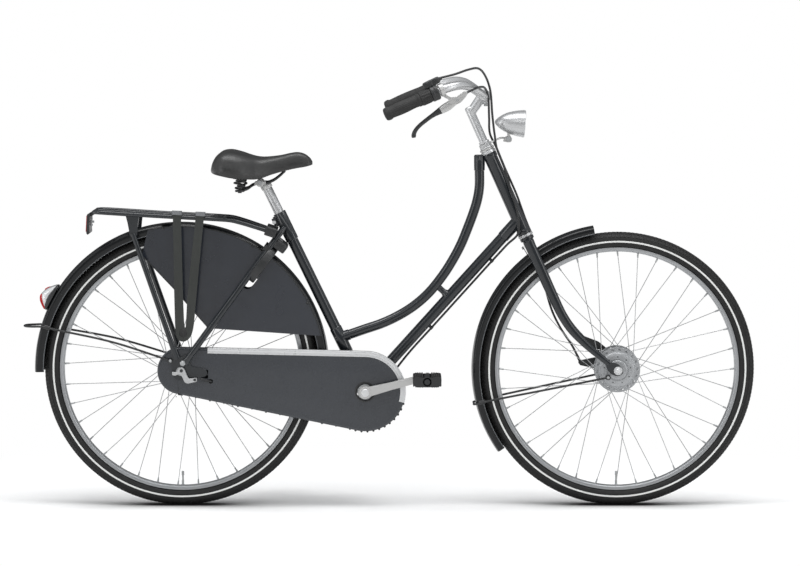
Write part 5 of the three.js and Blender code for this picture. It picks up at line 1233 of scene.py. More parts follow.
trim_path, trim_out = [], []
for k in range(61):
    t = math.radians(-16 + (case_slope + case_open + 16) * k / 60)
    trim_path.append((CRANK[0] + 104 * math.cos(t), CRANK[2] + 104 * math.sin(t)))
    trim_out.append((math.cos(t), math.sin(t)))
t = math.radians(case_slope + case_open)
way_out = (math.cos(t), math.sin(t))
far_end = (61 * way_out[0], TYRE + 61 * way_out[1])
for k in range(1, 13):
    share = k / 12 * (trim_path[60][0] - 70) / (trim_path[60][0] - far_end[0])
    trim_path.append((trim_path[60][0] + (far_end[0] - trim_path[60][0]) * share, trim_path[60][1]
        + (far_end[1] - trim_path[60][1]) * share))
    trim_out.append(way_out)
trim_section = [(0.35, -46), (1.5, -46), (1.8, -46.6), (1.8, -57.8), (1.3, -59.6), (0.0, -60.3),
    (-5.6, -60.45), (-6.4, -60.1), (-7.2, -60.1), (-8.0, -60.45), (-12.4, -60.4), (-13, -60.0),
    (-13, -59.5), (-1.0, -59.45), (0.3, -58.8)]
trim_rings = [[np.array([p[0] + g * n[0], y, p[1] + g * n[1]]) for g, y in trim_section]
    for p, n in zip(trim_path, trim_out)]
piece("chain_case_strip", "frame", "bright_trim", [skin(trim_rings)], "chaincase_trim", smooth=30)
print("chain case made")

# %% [markdown]
# ## Cranks and pedals
# Each crank is a forged aluminium arm on a square-ended spindle, here with its cover.
# The pedals are rubber blocks with cross ribs on a bearing barrel.

# %% Cranks
CRANK_TURN = 14.3
LONG = 165.0


def pedal_at(side):
    t = math.radians(CRANK_TURN)
    return CRANK[0] - side * LONG * math.cos(t), CRANK[2] - side * LONG * math.sin(t)


def crank_outline(side):
    px, pz = pedal_at(side)
    lean_turn = CRANK_TURN + (0 if side < 0 else 180)
    t = math.radians(lean_turn)
    way, across_way = np.array([math.cos(t), math.sin(t)]), np.array([-math.sin(t), math.cos(t)])
    c = np.array([CRANK[0], CRANK[2]])
    keys = [(34, 11.2), (70, 9.6), (120, 9.0), (150, 9.6)]
    upper = [c + way * d + across_way * w for d, w in reversed(keys)]
    lower = [c + way * d - across_way * w for d, w in keys]
    boss = arc(CRANK[0], CRANK[2], 16, lean_turn + 52, lean_turn + 308, 26)
    tip = arc(px, pz, 11.5, lean_turn - 70, lean_turn + 70, 18)
    return boss + [tuple(p) for p in lower] + tip + [tuple(p) for p in upper]


for side, side_name in SIDES:
    px, pz = pedal_at(side)
    near, far_y = side * 70, side * 82
    parts = [plate(crank_outline(side), min(near, far_y), max(near, far_y)), across(CRANK[0], CRANK[2],
        side * 62, side * 84, 15.8, 48)]
    piece(f"{side_name}_crank_arm", "crank", "satin_alloy", parts, f"{side_name}_crank", bevel=1.6,
        smooth=40)
    cap = turned([(0.0, 0), (10.3, 0), (10.3, 1.2), (9.4, 2), (0.0, 2.2)], (CRANK[0], side * 84, CRANK[2]),
        (0, side, 0), 40)
    piece(f"{side_name}_crank_cap", "crank", "bright_trim", [cap])
    piece(f"{side_name}_pedal_spindle", "crank", "dark_steel",
        [across(px, pz, side * 70.5, side * 182, 5.8), across(px, pz, side * 82, side * 88, 8, 6)],
        bevel=0.5)
piece("crank_axle", "crank", "dark_steel", [across(CRANK[0], CRANK[2], -77, 77, 8.4, 32)])
spider = []
for i in range(5):
    corners = ((4, -9), (40, -6), (64, -7.5), (64, 7.5), (40, 6), (4, 9))
    spider.append(plate([off_axis(CRANK, CRANK_TURN + 72 * i, r, w) for r, w in corners], -48, -44.8))
piece("chain_wheel", "crank", "zinc", [teeth_ring(CRANK, RING_TEETH, RING, 6, -44.9, -42.1, 58),
    across(CRANK[0], CRANK[2], -62, -42.1, 19.6, 40)] + spider, bevel=0.4, smooth=30)
unit_profile = [(8.9, -37), (19, -37), (19.5, -36.5), (19.5, -34.3), (16.7, -34.3), (16.7, 34.3),
    (19.5, 34.3), (19.5, 36.5), (19, 37), (8.9, 37)]
piece("crank_bearing", "frame", "dark_steel", [turned(unit_profile, CRANK, sides=40)],
    "bottom_bracket_unit", bevel=0.3)


# %% Pedals
def pedal_ends(px, pz, low, high):
    half, tall = 36.6, 12.2
    keys = [(px - half, pz + 3), (px - half + 4, pz + tall), (px - half * 0.5, pz + tall),
        (px, pz + tall - 1.5), (px + half * 0.5, pz + tall), (px + half - 3, pz + tall),
        (px + half, pz + 4), (px + half - 6, pz - tall), (px + half * 0.4, pz - tall - 1),
        (px, pz - tall - 1.4), (px - half * 0.4, pz - tall - 1), (px - half + 6, pz - tall)]
    return soft_plate(keys, low, high)


for side, side_name in SIDES:
    px, pz = pedal_at(side)
    low = -188 if side < 0 else 92
    blocks = []
    for way in (-1, 1):
        x0 = px + (10 if way > 0 else -37)
        ribs = []
        for i in range(5):
            a, b = x0 + 27 * i / 5, x0 + 27 * (i + 1) / 5
            top = pz + 15 - 3 * (abs((a + b) / 2 - px) / 35) ** 5
            ribs += [(a + 0.7, top - 2.6), (a + 1.6, top), (b - 1.6, top), (b - 0.7, top - 2.6)]
        under = [(x, 2 * pz - z) for x, z in reversed(ribs)]
        blocks.append(plate(ribs + under, low + 4, low + 92))
    piece(f"{side_name}_pedal_blocks", f"{side_name}_pedal_body", "rubber", blocks, f"{side_name}_pedal",
        bevel=0.5, smooth=30)
    frame_parts = [pedal_ends(px, pz, low, low + 4.4), pedal_ends(px, pz, low + 91.6, low + 96),
        across(px, pz, low, low + 96, 11, 32)]
    piece(f"{side_name}_pedal_cage", f"{side_name}_pedal_body", "black_plastic", frame_parts, bevel=0.8,
        smooth=35)
    outside = low if side < 0 else low + 96
    caps = [turned([(0.0, -1.4), (6.5, -1.4), (7.4, -0.6), (7.4, 1.2), (0.0, 1.2)], (px, outside, pz),
        (0, side, 0), 32)]
    piece(f"{side_name}_pedal_cap", f"{side_name}_pedal_body", "dark_steel", caps)
print("cranks and pedals made")

# %% [markdown]
# ## Stem and handlebar
# The stem slides in the fork's steerer, its neck leans forward and clamps the bar. The
# bar goes out, up and back to the hands, so that one rides upright.

# %% Stem and handlebar
BAR = np.array([787.0, 0, 1068])
GRIP_END = np.array([535.0, 293, 1031])
GRIP_WAY = unit(np.array([0.905, -0.15, 0.396]))


def on_grip(d, side=1):
    """A point so far along a grip from its end; side is 1 on the left and -1 on the right."""
    p = GRIP_END + d * GRIP_WAY
    return np.array([p[0], side * p[1], p[2]])


neck = tube([head(755), head(759), head(768, 5), BAR + np.array([-10, 0, -6.6]), BAR],
    [8, 11.4, 12.2, 13.2, 13.2], 32)
ring = [(11.2, 1.3), (13.4, 1.3), (14, 1.9), (14, 5.9), (13.2, 7), (11.2, 7)]
clamp_profile = [(11.5, -20), (16.2, -20), (17, -19.2), (17, -12), (16.4, -11), (17, -10), (17, 10),
    (16.4, 11), (17, 12), (17, 19.2), (16.2, 20), (11.5, 20)]
piece("stem_body", "steering", "chrome", [neck, tube([head(s) for s in (500, 777, 780, 781.5)],
    [11.1, 11.1, 9.6, 7], 32), turned(ring, head(677), HEAD_UP, 40), turned(clamp_profile, BAR)], "stem",
    smooth=45)
bolt_top, bolt_way = BAR + np.array([4, 0, -13]), np.array([0, 0, -1])
bolt_parts = [tube([bolt_top, bolt_top + 7.5 * bolt_way], [(11, 8.5), (11, 8.5)]),
    tube([bolt_top + 6 * bolt_way, bolt_top + 13 * bolt_way], 5.6, 6)]
piece("stem_clamp_bolt", "steering", "zinc", bolt_parts, bevel=0.6)
SWEEP = ((692, 262, 1097), (716, 244, 1102), (739, 214, 1099), (758, 170, 1088.5), (773, 115, 1077.5),
    (783, 62, 1070.5))


def half_bar(side):
    return [on_grip(d, side) for d in (0, 40, 80, 120, 148)] + [np.array([x, side * y, z])
        for x, y, z in SWEEP]


bar_path = curve_through(half_bar(-1) + [BAR + np.array([0, -24, 0]), BAR + np.array([0, 24, 0])]
    + half_bar(1)[::-1], 7)
piece("handlebar_tube", "steering", "chrome", [tube(bar_path, 11.1, 28)], "handlebar", smooth=45)

# %% [markdown]
# The grips are soft rubber with a rolled end. The right one is short and makes room for
# the twist grip, which shifts the hub gear. Ribs along it keep the hand from slipping.

# %% Grips and gear shifter
def grip_shell(side, profile, ribs=0, depth=0.0, sides=72):
    """A grip sleeve; the radius goes up and down in ribs round it."""
    way = np.array([GRIP_WAY[0], side * GRIP_WAY[1], GRIP_WAY[2]])
    first = unit(np.cross(way, [0, 1, 0]))
    second = np.cross(way, first)
    base = on_grip(0, side)
    rings = []
    for r, h, rib in profile:
        ring_points = []
        for j in range(sides):
            a = 2 * math.pi * j / sides
            wave = 0.5 - 0.5 * math.cos(ribs * a) if ribs else 0.0
            radius = max(r - rib * depth * wave, 0.02)
            ring_points.append(base + h * way + radius * (math.cos(a) * first + math.sin(a) * second))
        rings.append(ring_points)
    return skin(rings)


def grip_rows(length):
    rows = [(9, -5, 0), (12.5, -4.8, 0), (15.2, -3.2, 0), (16.3, -1, 0), (17.1, 3, 0), (17.2, 7, 0),
        (16.3, 9.4, 0), (15.4, 11.4, 0), (15.1, 14, 1)]
    for k in range(1, 12):
        share = k / 12
        h = 14 + (length - 26) * share
        rows.append((15.1 + 1.2 * math.sin(math.pi * min(1.0, share * 1.15)), h, 1))
    rows += [(15.5, length - 9, 1), (15.6, length - 7.4, 0), (17.0, length - 5.4, 0),
        (17.1, length - 1, 0), (16.6, length, 0), (11.6, length, 0)]
    return rows


piece("grip_right", "steering", "rubber", [grip_shell(-1, grip_rows(92), 24, 0.5, 96)], "right_grip",
    smooth=50)
piece("grip_left", "steering", "rubber", [grip_shell(1, grip_rows(121), 24, 0.5, 96)], "left_grip",
    smooth=50)
twist_rows = [(12.4, 92.6, 0), (16.6, 92.6, 0), (17.6, 93.6, 0), (18.0, 95.4, 0), (18.6, 97, 1)]
twist_rows += [(18.6, 97 + 19 * k / 8, 1) for k in range(1, 9)] + [(18.0, 118, 0), (17.8, 120.4, 0),
    (16.8, 121.6, 0), (12.4, 121.6, 0)]
piece("gear_twist_grip", "shifter_grip", "rubber", [grip_shell(-1, twist_rows, 16, 1.3, 128)],
    "twist_shifter", smooth=40)

box_from = on_grip(108.2, -1) + np.array([-6, 0, 25])
box_to = on_grip(152.2, -1) + np.array([-6, 0, 27])
cable_from = box_to + np.array([-1.5, 0, 1.9])
box_way = unit(box_to - box_from)
box_length = float(np.linalg.norm(box_to - box_from))


def soft_box_rings(start, way, keys, sides=40, power=0.55):
    """A body with nearly rectangular sections: distance, half width in Y, half height, lift."""
    upward = unit(np.cross(way, Y_WAY))
    upward = upward if upward[2] > 0 else -upward
    rings = []
    for d, wide, tall, lift in keys:
        row = []
        for j in range(sides):
            a = 2 * math.pi * (j + 0.5) / sides
            c, s = math.cos(a), math.sin(a)
            row.append(start + d * way + lift * upward + wide * math.copysign(abs(c) ** power, c) * Y_WAY
                + tall * math.copysign(abs(s) ** power, s) * upward)
        rings.append(row)
    return skin(rings)


box_keys = [(-0.5, 4.5, 5, 0), (0.6, 7, 7.4, 0), (3, 8.4, 8.8, 0), (14, 8.8, 9.2, 0), (24, 8.6, 9.1, 0),
    (25, 8, 8.4, 0), (26, 8, 8.4, 0), (27, 8.4, 8.9, 0), (box_length - 6, 8, 8.6, 0),
    (box_length - 2, 7.4, 8.0, 0), (box_length - 0.4, 6, 6.4, 0), (box_length, 4.4, 4.8, 0)]
housing_rows = [(12, 122.2, 0), (18.6, 122.2, 0), (19.4, 122.8, 0), (20, 125, 0), (20, 130, 0),
    (19.5, 130.6, 0), (19.5, 131.6, 0), (20, 132.2, 0), (20, 139, 0), (19.2, 141, 0), (18, 142.2, 0),
    (12, 142.2, 0)]
foot = on_grip(132, -1)
case_foot = soft_box_rings(foot, unit(box_from + box_way * 22 - foot), [(10, 8, 8, 0), (20, 7.4, 8, 0)])
piece("shifter_case", "steering", "black_plastic", [grip_shell(-1, housing_rows, sides=64),
    soft_box_rings(box_from, box_way, box_keys), case_foot], "shifter_housing", smooth=40)
cable_stop = [box_to - box_way * 1, box_to + box_way * 0.4, box_to + box_way * 5.4, box_to + box_way * 6]
piece("shifter_cable_stop", "steering", "black_plastic", [tube(cable_stop, [3.9, 4.2, 3.8, 3.2])],
    smooth=40)

# %% [markdown]
# The lever's bracket is a clamp ring with two cheeks. The blade turns on a pin between
# them, is coated black and ends in a small hook.

# %% Brake lever
LEVER_Y = -268.0
ferrule = np.array([731.0, LEVER_Y + 4, 1081])
cable_way = unit(np.array([21.0, 26, 12]))
clamp_mid = on_grip(151.7, -1)
bracket = [(clamp_mid[0] - 7, clamp_mid[2] - 10), (clamp_mid[0] + 6, clamp_mid[2] - 18),
    (clamp_mid[0] + 17, clamp_mid[2] - 25), (690, 1058), (706, 1054.6), (718, 1058.5), (727, 1067),
    (735, 1077), (736, 1084), (730, 1088), (722, 1083), (712, 1075.5), (702, 1073), (692, 1074.5),
    (683, 1081), (clamp_mid[0] + 5, clamp_mid[2] + 3)]
bracket_curve = soft_loop(bracket, 4)
web_left = [(clamp_mid[0] - 6, clamp_mid[2] - 9.5), (clamp_mid[0] + 5, clamp_mid[2] - 17), (688, 1075.6),
    (683, 1080.4), (clamp_mid[0] + 4.4, clamp_mid[2] + 2.6)]
web_right = [(725, 1066.4), (734, 1077), (735, 1083.6), (730, 1087), (722, 1082.2), (724, 1070.6)]
clamp_rows = [(11.5, 146.2, 0), (15.8, 146.2, 0), (16.5, 146.9, 0), (16.5, 156.5, 0), (15.8, 157.2, 0),
    (11.5, 157.2, 0)]
bracket_parts = [plate(bracket_curve, LEVER_Y - 6, LEVER_Y - 4.3),
    plate(bracket_curve, LEVER_Y + 4.3, LEVER_Y + 6), plate(web_left, LEVER_Y - 5.5, LEVER_Y + 5.5),
    plate(web_right, LEVER_Y - 5.5, LEVER_Y + 5.5), grip_shell(-1, clamp_rows, sides=64)]
piece("brake_lever_bracket", "steering", "satin_alloy", bracket_parts, "brake_lever_mount", bevel=0.5,
    smooth=40)
adjuster = [ferrule - 5 * cable_way, ferrule - 4 * cable_way, ferrule + 1 * cable_way,
    ferrule + 1.2 * cable_way, ferrule + 6 * cable_way, ferrule + 7.8 * cable_way]
lever_bits = [tube(adjuster, [4.2, 4.8, 4.8, 4.3, 4.3, 3.4], 18), across(712, 1066, LEVER_Y - 6.9,
    LEVER_Y + 6.9, 3.4)]
piece("brake_lever_adjuster", "steering", "zinc", lever_bits, bevel=0.3)
blade_row = [np.array(k, float) for k in ((716, 1069, 7.4, 3.7), (702, 1060, 9.6, 3.7),
    (686, 1049, 11, 3.7), (675, 1042.6, 10, 4.2), (663, 1035.6, 7.6, 5), (648, 1026, 5.6, 6.2),
    (630, 1012.5, 5.2, 6.4), (617, 1001.5, 5, 6), (608, 991, 5.2, 5.8), (603.6, 982, 5.6, 5.8),
    (602.8, 974.6, 5.8, 5.8), (603.2, 971.4, 4.4, 4.6))]
blade_line = curve_through(blade_row, 5)


def blade_part(first, last):
    keys = blade_line[first:last]
    return tube([np.array([k[0], LEVER_Y, k[1]]) for k in keys], [(k[3], k[2]) for k in keys], 28)


piece("brake_lever_root", "lever", "satin_alloy", [blade_part(0, 18)], smooth=50)
piece("brake_lever_blade", "lever", "black_plastic", [blade_part(17, len(blade_line))], "brake_lever",
    smooth=50)

# %% [markdown]
# ## Headlight
# The lamp is a polished egg with a clear glass. It hangs in a bracket that is clamped
# under the headset nut, and its pinch screw lets one set the beam.

# %% Headlight
LAMP_BACK = np.array([814.0, 0, 1001])
LAMP_WAY = np.array([math.cos(0.07), 0, -math.sin(0.07)])
LAMP_PIVOT = np.array([850.3, 0, 957])
egg = [(0.0, 0.0), (3.4, 0.9), (7.4, 3.6), (12.42, 9.36), (17.4, 15.9), (21.39, 23.4), (25.4, 32),
    (28.29, 40.56), (30.8, 50), (32.78, 59.28), (34.0, 69), (34.5, 75.4), (34.5, 78), (33.6, 78),
    (33.0, 75), (32.5, 69), (30.2, 56), (26.6, 43), (21, 35), (12, 30.5), (0.0, 29)]
ridge = []
for lift, h in ((10.2, 7.4), (22.6, 25.5), (30.6, 48), (34.3, 70), (34.9, 77.6)):
    ridge.append(LAMP_BACK + h * LAMP_WAY + lift * np.array([-LAMP_WAY[2], 0, LAMP_WAY[0]]))
shell_parts = [turned(egg, LAMP_BACK, LAMP_WAY, 72), tube(curve_through(ridge, 5), [(3.2, 1.3)] * 21, 12)]
piece("headlight_egg", "headlight", "chrome", shell_parts, "headlight_shell", smooth=40)
rim_ring = [(34.6, 72), (34.9, 72.6), (34.9, 77.6), (34.2, 78.6), (32.6, 78.6), (32.6, 77.4), (33.2, 72)]
piece("headlight_rim", "headlight", "chrome", [turned(rim_ring, LAMP_BACK, LAMP_WAY, 72)])
lens_rows = [(0.0, 74), (32.4, 74.4), (32.5, 76.4), (29, 77.8), (26, 78.3), (20, 79.2), (12, 79.8),
    (0.0, 80)]
piece("headlight_glass", "headlight", "clear_lens", [turned(lens_rows, LAMP_BACK, LAMP_WAY, 72)],
    "headlight_lens", smooth=40)
lug = [rod(LAMP_PIVOT, LAMP_PIVOT + np.array([0, 0, 16]), 3.4, 4.2, 20), across(LAMP_PIVOT[0],
    LAMP_PIVOT[2], -3.5, 3.5, 6, 28)]
piece("headlight_lug", "headlight", "satin_alloy", lug, bevel=0.5)
BRACKET_LOW = 660.6
arm_start = head(BRACKET_LOW + 1.3, 17)
arm_line = curve_through([arm_start, (800, 0, 945), (814, 0, 953), (830, 0, 959.6), (842, 0, 959)], 6)
arm_parts = [turned([(13.6, 0), (19.6, 0), (20, 0.4), (20, 2.2), (19.6, 2.6), (13.6, 2.6)],
    head(BRACKET_LOW), HEAD_UP), tube(arm_line, [(7, 2.6)] * len(arm_line), 20)]
for side in (-1, 1):
    ear_path = [(836, 951), (848, 948.6), (856, 950), (858.6, 957), (855, 964), (847, 965), (840, 961)]
    arm_parts.append(soft_plate(ear_path, 5.5 * side - 1.5, 5.5 * side + 1.5, 4))
piece("headlight_bracket_arm", "steering", "satin_alloy", arm_parts, "headlight_bracket", bevel=0.3,
    smooth=45)
screw = [tube([LAMP_PIVOT + y * Y_WAY for y in (-11.5, -11, -7.4, -7)], [6.2, 6.9, 6.9, 6.2], 28),
    across(LAMP_PIVOT[0], LAMP_PIVOT[2], 7, 10.6, 4.4, 6)]
piece("headlight_screw", "steering", "zinc", screw, bevel=0.3)
print("handlebar and headlight made")

# %% [markdown]
# ## Luggage carrier
# Two bent tubes make the deck's sides. Flat cross strips carry the load, two legs stand
# on the rear ends and a yoke holds the front to the seat stays.

# %% Carrier
def rail_path(side):
    keys = [(RACK_BACK, 50, rail_height(RACK_BACK)), (RACK_BACK + 14, 64, rail_height(RACK_BACK)),
        (-60, 65, rail_height(-60)), (100, 65, rail_height(100)), (131, 63, rail_height(131) - 1),
        (160, 57, 742.4), (200, 49, 729.6), (224, 44, 721.6)]
    return curve_through([(x, side * y, z) for x, y, z in keys], 9)


rack_parts = []
for side in (-1, 1):
    rack_parts.append(tube(rail_path(side), 5.5))
    rack_parts.append(rod((RACK_BACK, side * 22, rail_height(RACK_BACK)),
        (112, side * 22, rail_height(112)), 3.85, sides=16))
    leg = curve_through([(-121, side * 65, 716), (-90, side * 67, 627), (-60, side * 69, 540),
        (-8, side * 72.2, 390)])
    rack_parts.append(tube(leg, [(7, 7)] * (len(leg) - 3) + [(5.4, 7.4), (3.6, 8), (2.8, 8)], 22))
    gusset = [(-140, 766), (-104, 764), (-107, 742), (-110, 712), (-118, 707), (-128, 708), (-134, 742)]
    rack_parts.append(plate(gusset, side * 64 - 2.5, side * 64 + 2.5))
rack_parts.append(across(RACK_BACK, rail_height(RACK_BACK), -54, 54, 5.5))
rack_parts.append(across(112, rail_height(112), -63, 63, 4.4, 16))
piece("carrier_tubes", "frame", "paint", rack_parts, "rack", bevel=0.3, smooth=45)
strips = []
for x in (-150, -40, 70):
    z = rail_height(x)
    strips.append(plate([(x - 15, z - 1.5), (x + 15, z - 1.5), (x + 15, z + 1.5), (x + 10, z + 2.1),
        (x - 10, z + 2.1), (x - 15, z + 1.5)], -64, 64))
piece("carrier_strips", "frame", "paint", strips, bevel=0.5)
yoke_parts = []
yoke_way = unit(np.array([0.95, 0, -0.31]))
for side in (-1, 1):
    yoke_parts.append(soft_box_rings(np.array([220.0, side * 43, 723.0]), yoke_way, [(0, 8, 10, 0),
        (1, 10.4, 12.4, 0), (28, 10.4, 12.4, 0), (29.4, 8, 10, 0)], power=0.4))
yoke_parts.append(across(232, 719.8, -44, 44, 5.5))
piece("carrier_yoke", "frame", "black_plastic", yoke_parts, bevel=0.4)

# %% [markdown]
# Rubber straps hold a bag on the deck. Down the right side they meet in a foot with a
# round knob, and steel clips hook over the rail.

# %% Straps
STRAP = -70.4
strap_outline = [(-17, 769), (4, 768), (6.4, 650), (8.4, 545), (10.4, 490), (11.6, 476), (13, 471),
    (14.6, 476), (16.2, 500), (18.6, 545), (31, 660), (42.6, 766), (64, 765), (50, 628), (36, 482),
    (33.6, 468), (30, 455), (25.6, 447), (20, 441), (13.6, 437.2), (7, 436), (0.6, 437.4), (-5, 441),
    (-8.8, 447), (-11, 455), (-12.2, 468), (-13, 482), (-14.6, 560)]
piece("strap_bands", "frame", "strap_rubber", [plate(strap_outline, STRAP - 3, STRAP)], "rack_straps",
    bevel=0.7, smooth=40)
knob_rows = [(0.0, 0), (11, 0), (11, 2.0), (10.2, 3.8), (8.4, 5.2), (5, 6), (0.0, 6.2)]
piece("strap_knob", "frame", "rubber", [turned(knob_rows, (8, STRAP, 459), (0, -1, 0), 40)])
clip_rows = []
for left, right, z in ((-19, 6, 768), (42, 67, 765)):
    clip_rows.append(plate([(left, z - 3), (right, z - 4), (right, z + 6.4), (left, z + 7.4)], STRAP - 4.5,
        STRAP - 3.1))
    clip_rows.append(plate([(left, z + 5), (right, z + 4), (right, z + 6.4), (left, z + 7.4)], STRAP - 4.5,
        -62))
    for k in range(4):
        x = left + 3.6 + k * 6.0
        clip_rows.append(plate([(x - 1.1, z - 1), (x + 1.1, z - 1), (x + 1.1, z + 4), (x - 1.1, z + 4)],
            STRAP - 5.0, STRAP - 4.3))
piece("strap_clips", "frame", "soft_grey", clip_rows, bevel=0.3)

# %% [markdown]
# The coat guards close the upper front part of the rear wheel. A slot lets the ring
# lock's shackle through. Each guard is a thin sheet with a rolled rim and a few clips.

# %% Coat guards
lock_way = polar(np.zeros(3), 1, LOCK_TURN)
guard_line = arc(0, TYRE, 376, 13.6, 103, 60) + [(-101, 655.4), (-60, 613), (-21, 571.7), (24, 519.6),
    (70.2, 466), (78, 466)]
slot_a, slot_b = REAR + lock_way * 284, REAR + lock_way * 306


def lock_slot(radius):
    return (arc(slot_b[0], slot_b[2], radius, LOCK_TURN - 90, LOCK_TURN + 90, 12) + arc(slot_a[0],
        slot_a[2], radius, LOCK_TURN + 90, LOCK_TURN + 270, 12))


for side, side_name in SIDES:
    low = -30.4 if side < 0 else 29.2
    lip = plate(lock_slot(17.4), side * 30.3 - 0.5, side * 30.3 + 0.5, [lock_slot(15)])
    piece(f"coat_guard_sheet_{side_name}", "frame", "guard_vinyl", [sheet(guard_line, low, 1.2,
        [lock_slot(15)], 30), lip], f"coat_guard_{side_name}", smooth=30)
    rim_line = [polar(REAR, 374.4, 13.8 + 89 * k / 60, side * 30.2) for k in range(61)]
    edge_line = [np.array([x, side * 30.2, z]) for x, z in ((-100.4, 656.4), (-60, 614.4), (-21, 573),
        (24, 521), (70.6, 467.2), (80, 467))]
    piece(f"coat_guard_edge_{side_name}", "frame", "black_plastic", [tube(rim_line, 1.6, 8),
        tube(edge_line, 1.5, 8)])
    snaps = []
    for turn, radius, size in ((97, 371, 3.4), (60, 371, 3.0), (28, 371, 3.0)):
        at = polar(REAR, radius, turn, 0)
        snaps.append(turned([(0.0, 0), (size, 0), (size, 0.8), (size * 0.7, 1.7), (0.0, 2.0)],
            (at[0], side * 30.4, at[2]), (0, side, 0), 20))
    piece(f"coat_guard_snaps_{side_name}", "frame", "black_plastic", snaps)

# %% [markdown]
# ## Ring lock
# The lock is a horseshoe round the tyre. Its steel shackle turns in a channel inside
# the housing and closes the ring between two spokes.

# %% Ring lock
LOCK_AT = REAR + lock_way * 343
LOCK_SIDE = np.array([-lock_way[2], 0, lock_way[0]])


def in_lock(x, y, z):
    """A point in the lock: to the right, out from the rear axle and across the ring."""
    return LOCK_AT - x * Y_WAY + y * lock_way + z * LOCK_SIDE


def lock_section(turn, shape):
    t = math.radians(turn)
    return [in_lock(r * math.cos(t), r * math.sin(t), z) for r, z in shape]


half, inner_r, outer_r = 11.3, 49.0, 65.0
shape_out = []
for cx, cz, from_turn in ((outer_r - 3.5, half - 3.5, 0), (inner_r + 2.5, half - 2.5, 90),
        (inner_r + 2.5, -half + 2.5, 180), (outer_r - 3.5, -half + 3.5, 270)):
    radius = 3.5 if cx > 57 else 2.5
    for k in range(6):
        t = math.radians(from_turn + 90 * k / 5)
        shape_out.append((cx + radius * math.cos(t), cz + radius * math.sin(t)))
shape_in = [(57 + 5.6 * math.cos(math.radians(7.5 + 15 * j)), 5.6 * math.sin(math.radians(7.5 + 15 * j)))
    for j in range(24)]
turns = [-48 + 276 * k / 56 for k in range(57)]
tube_rings = [lock_section(t, shape_out) for t in turns] + [lock_section(t, shape_in)
    for t in reversed(turns)]
lock_parts = [skin(tube_rings, closed=True)]
top_rows = []
for y, wide, deep in ((58, 41, 17.6), (60, 42, 19), (70, 42, 19), (77, 41.6, 18.6), (81, 40, 17),
        (83, 36, 13.6)):
    row = []
    for j in range(48):
        a = 2 * math.pi * (j + 0.5) / 48
        c, s = math.cos(a), math.sin(a)
        row.append(in_lock(wide * math.copysign(abs(c) ** 0.3, c), y,
            deep * math.copysign(abs(s) ** 0.5, s) - 8.3))
    top_rows.append(row)
lock_parts.append(skin(top_rows))
for side in (-1, 1):
    pad = [in_lock(side * 41.5 + a, 45 + b, z) for z in (10, 23.2, 23.9)
        for a, b in ((-6, -7), (6, -7), (6, 7), (-6, 7))]
    lock_parts.append(skin([pad[0:4], pad[4:8], [in_lock(side * 41.5 + a, 45 + b, 23.9)
        for a, b in ((-5.2, -6.2), (5.2, -6.2), (5.2, 6.2), (-5.2, 6.2))]]))
piece("ring_lock_case", "frame", "black_plastic", lock_parts, "lock_body", bevel=0.3, smooth=45)
key_plate = [in_lock(22, 83, 0), in_lock(22, 83.9, 0), in_lock(22, 84.3, 0)]
piece("ring_lock_keyhole", "frame", "zinc", [tube(key_plate, [8, 8, 7.2], 28)], bevel=0.2)
shackle_turns = [-44 + 150 * k / 44 for k in range(45)]
shackle_path = [in_lock(57 * math.cos(math.radians(t)), 57 * math.sin(math.radians(t)), 0)
    for t in shackle_turns]
shackle_radii = [2.6, 3.8] + [4.2] * 43
piece("ring_lock_shackle", "shackle", "zinc", [tube(shackle_path, shackle_radii, 24, first_up=LOCK_SIDE)],
    "lock_shackle", smooth=50)
print("carrier, guards and lock made")

# %% [markdown]
# ## Axles and brake
# The rear axle carries the bell crank that pulls the gear chain and, on the left, the
# arm of the back-pedal brake. A roller brake sits on the left of the front hub.

# %% Axles and brake
def dome_nut(axle, side, low, thick):
    rows = [(0.0, thick + 3.2), (3.2, thick + 3.0), (5.8, thick + 1.6), (7.0, thick - 0.4),
        (7.6, thick - 0.6), (8.4, 0.6), (0.0, 0.4)]
    return [across(axle[0], axle[2], side * low, side * (low + thick), 9, 6), turned(rows,
        (axle[0], side * low, axle[2]), (0, side, 0), 36)]


rear_low = 65.0 + 0.1
bell = [(-21, 358), (-20, 350), (-12, 348.6), (-5, 352), (2, 349), (7, 341), (12, 331), (20, 328),
    (32, 330.6), (42, 333), (42, 342), (32, 341.4), (23, 341), (18, 347), (14, 357), (10, 366), (4, 369),
    (-4, 366.6), (-9, 358.4)]
arm = [(-14, 352), (-8, 370), (8, 366), (30, 341), (60, 331), (158, 318), (158, 309), (56, 320), (0, 345)]
axle_parts = [across(0, TYRE, -77, 78.5, 5), across(0, TYRE, 43.3, 50, 13, 32)]
for side in (-1, 1):
    axle_parts += dome_nut(REAR, side, rear_low, 8.6)
    axle_parts.append(across(0, TYRE, side * 64.6, side * 66.4, 11.4, 36))
piece("rear_axle_nuts", "frame", "zinc", axle_parts, "rear_axle", bevel=0.4, smooth=35)
piece("coaster_arm", "frame", "zinc", [soft_plate(arm, 45, 48, 2)], bevel=0.5)
bell_pins = [across(37.5, 337.4, -80, -77, 3.6, 20), across(3, 361, -80, -77.4, 4.6, 6)]
piece("gear_bell_crank", "frame", "chrome", [soft_plate(bell, -77.8, -71.8, 4)], bevel=1.6)
piece("gear_bell_pins", "frame", "dark_steel", bell_pins, bevel=0.6)
piece("stay_bolt", "frame", "zinc", [across(6, 379.6, -75.6, -66, 7.6, 6), across(6, 379.6, -77, -75, 5)],
    bevel=0.8)
front_parts = [across(FRONT[0], FRONT[2], -66.5, 66.5, 5)]
for side in (-1, 1):
    front_parts += dome_nut(FRONT, side, 54.8, 7.6)
    front_parts.append(across(FRONT[0], FRONT[2], side * 54.4, side * 56, 11, 36))
piece("front_axle_nuts", "steering", "bright_trim", front_parts, "front_axle", bevel=0.4, smooth=35)
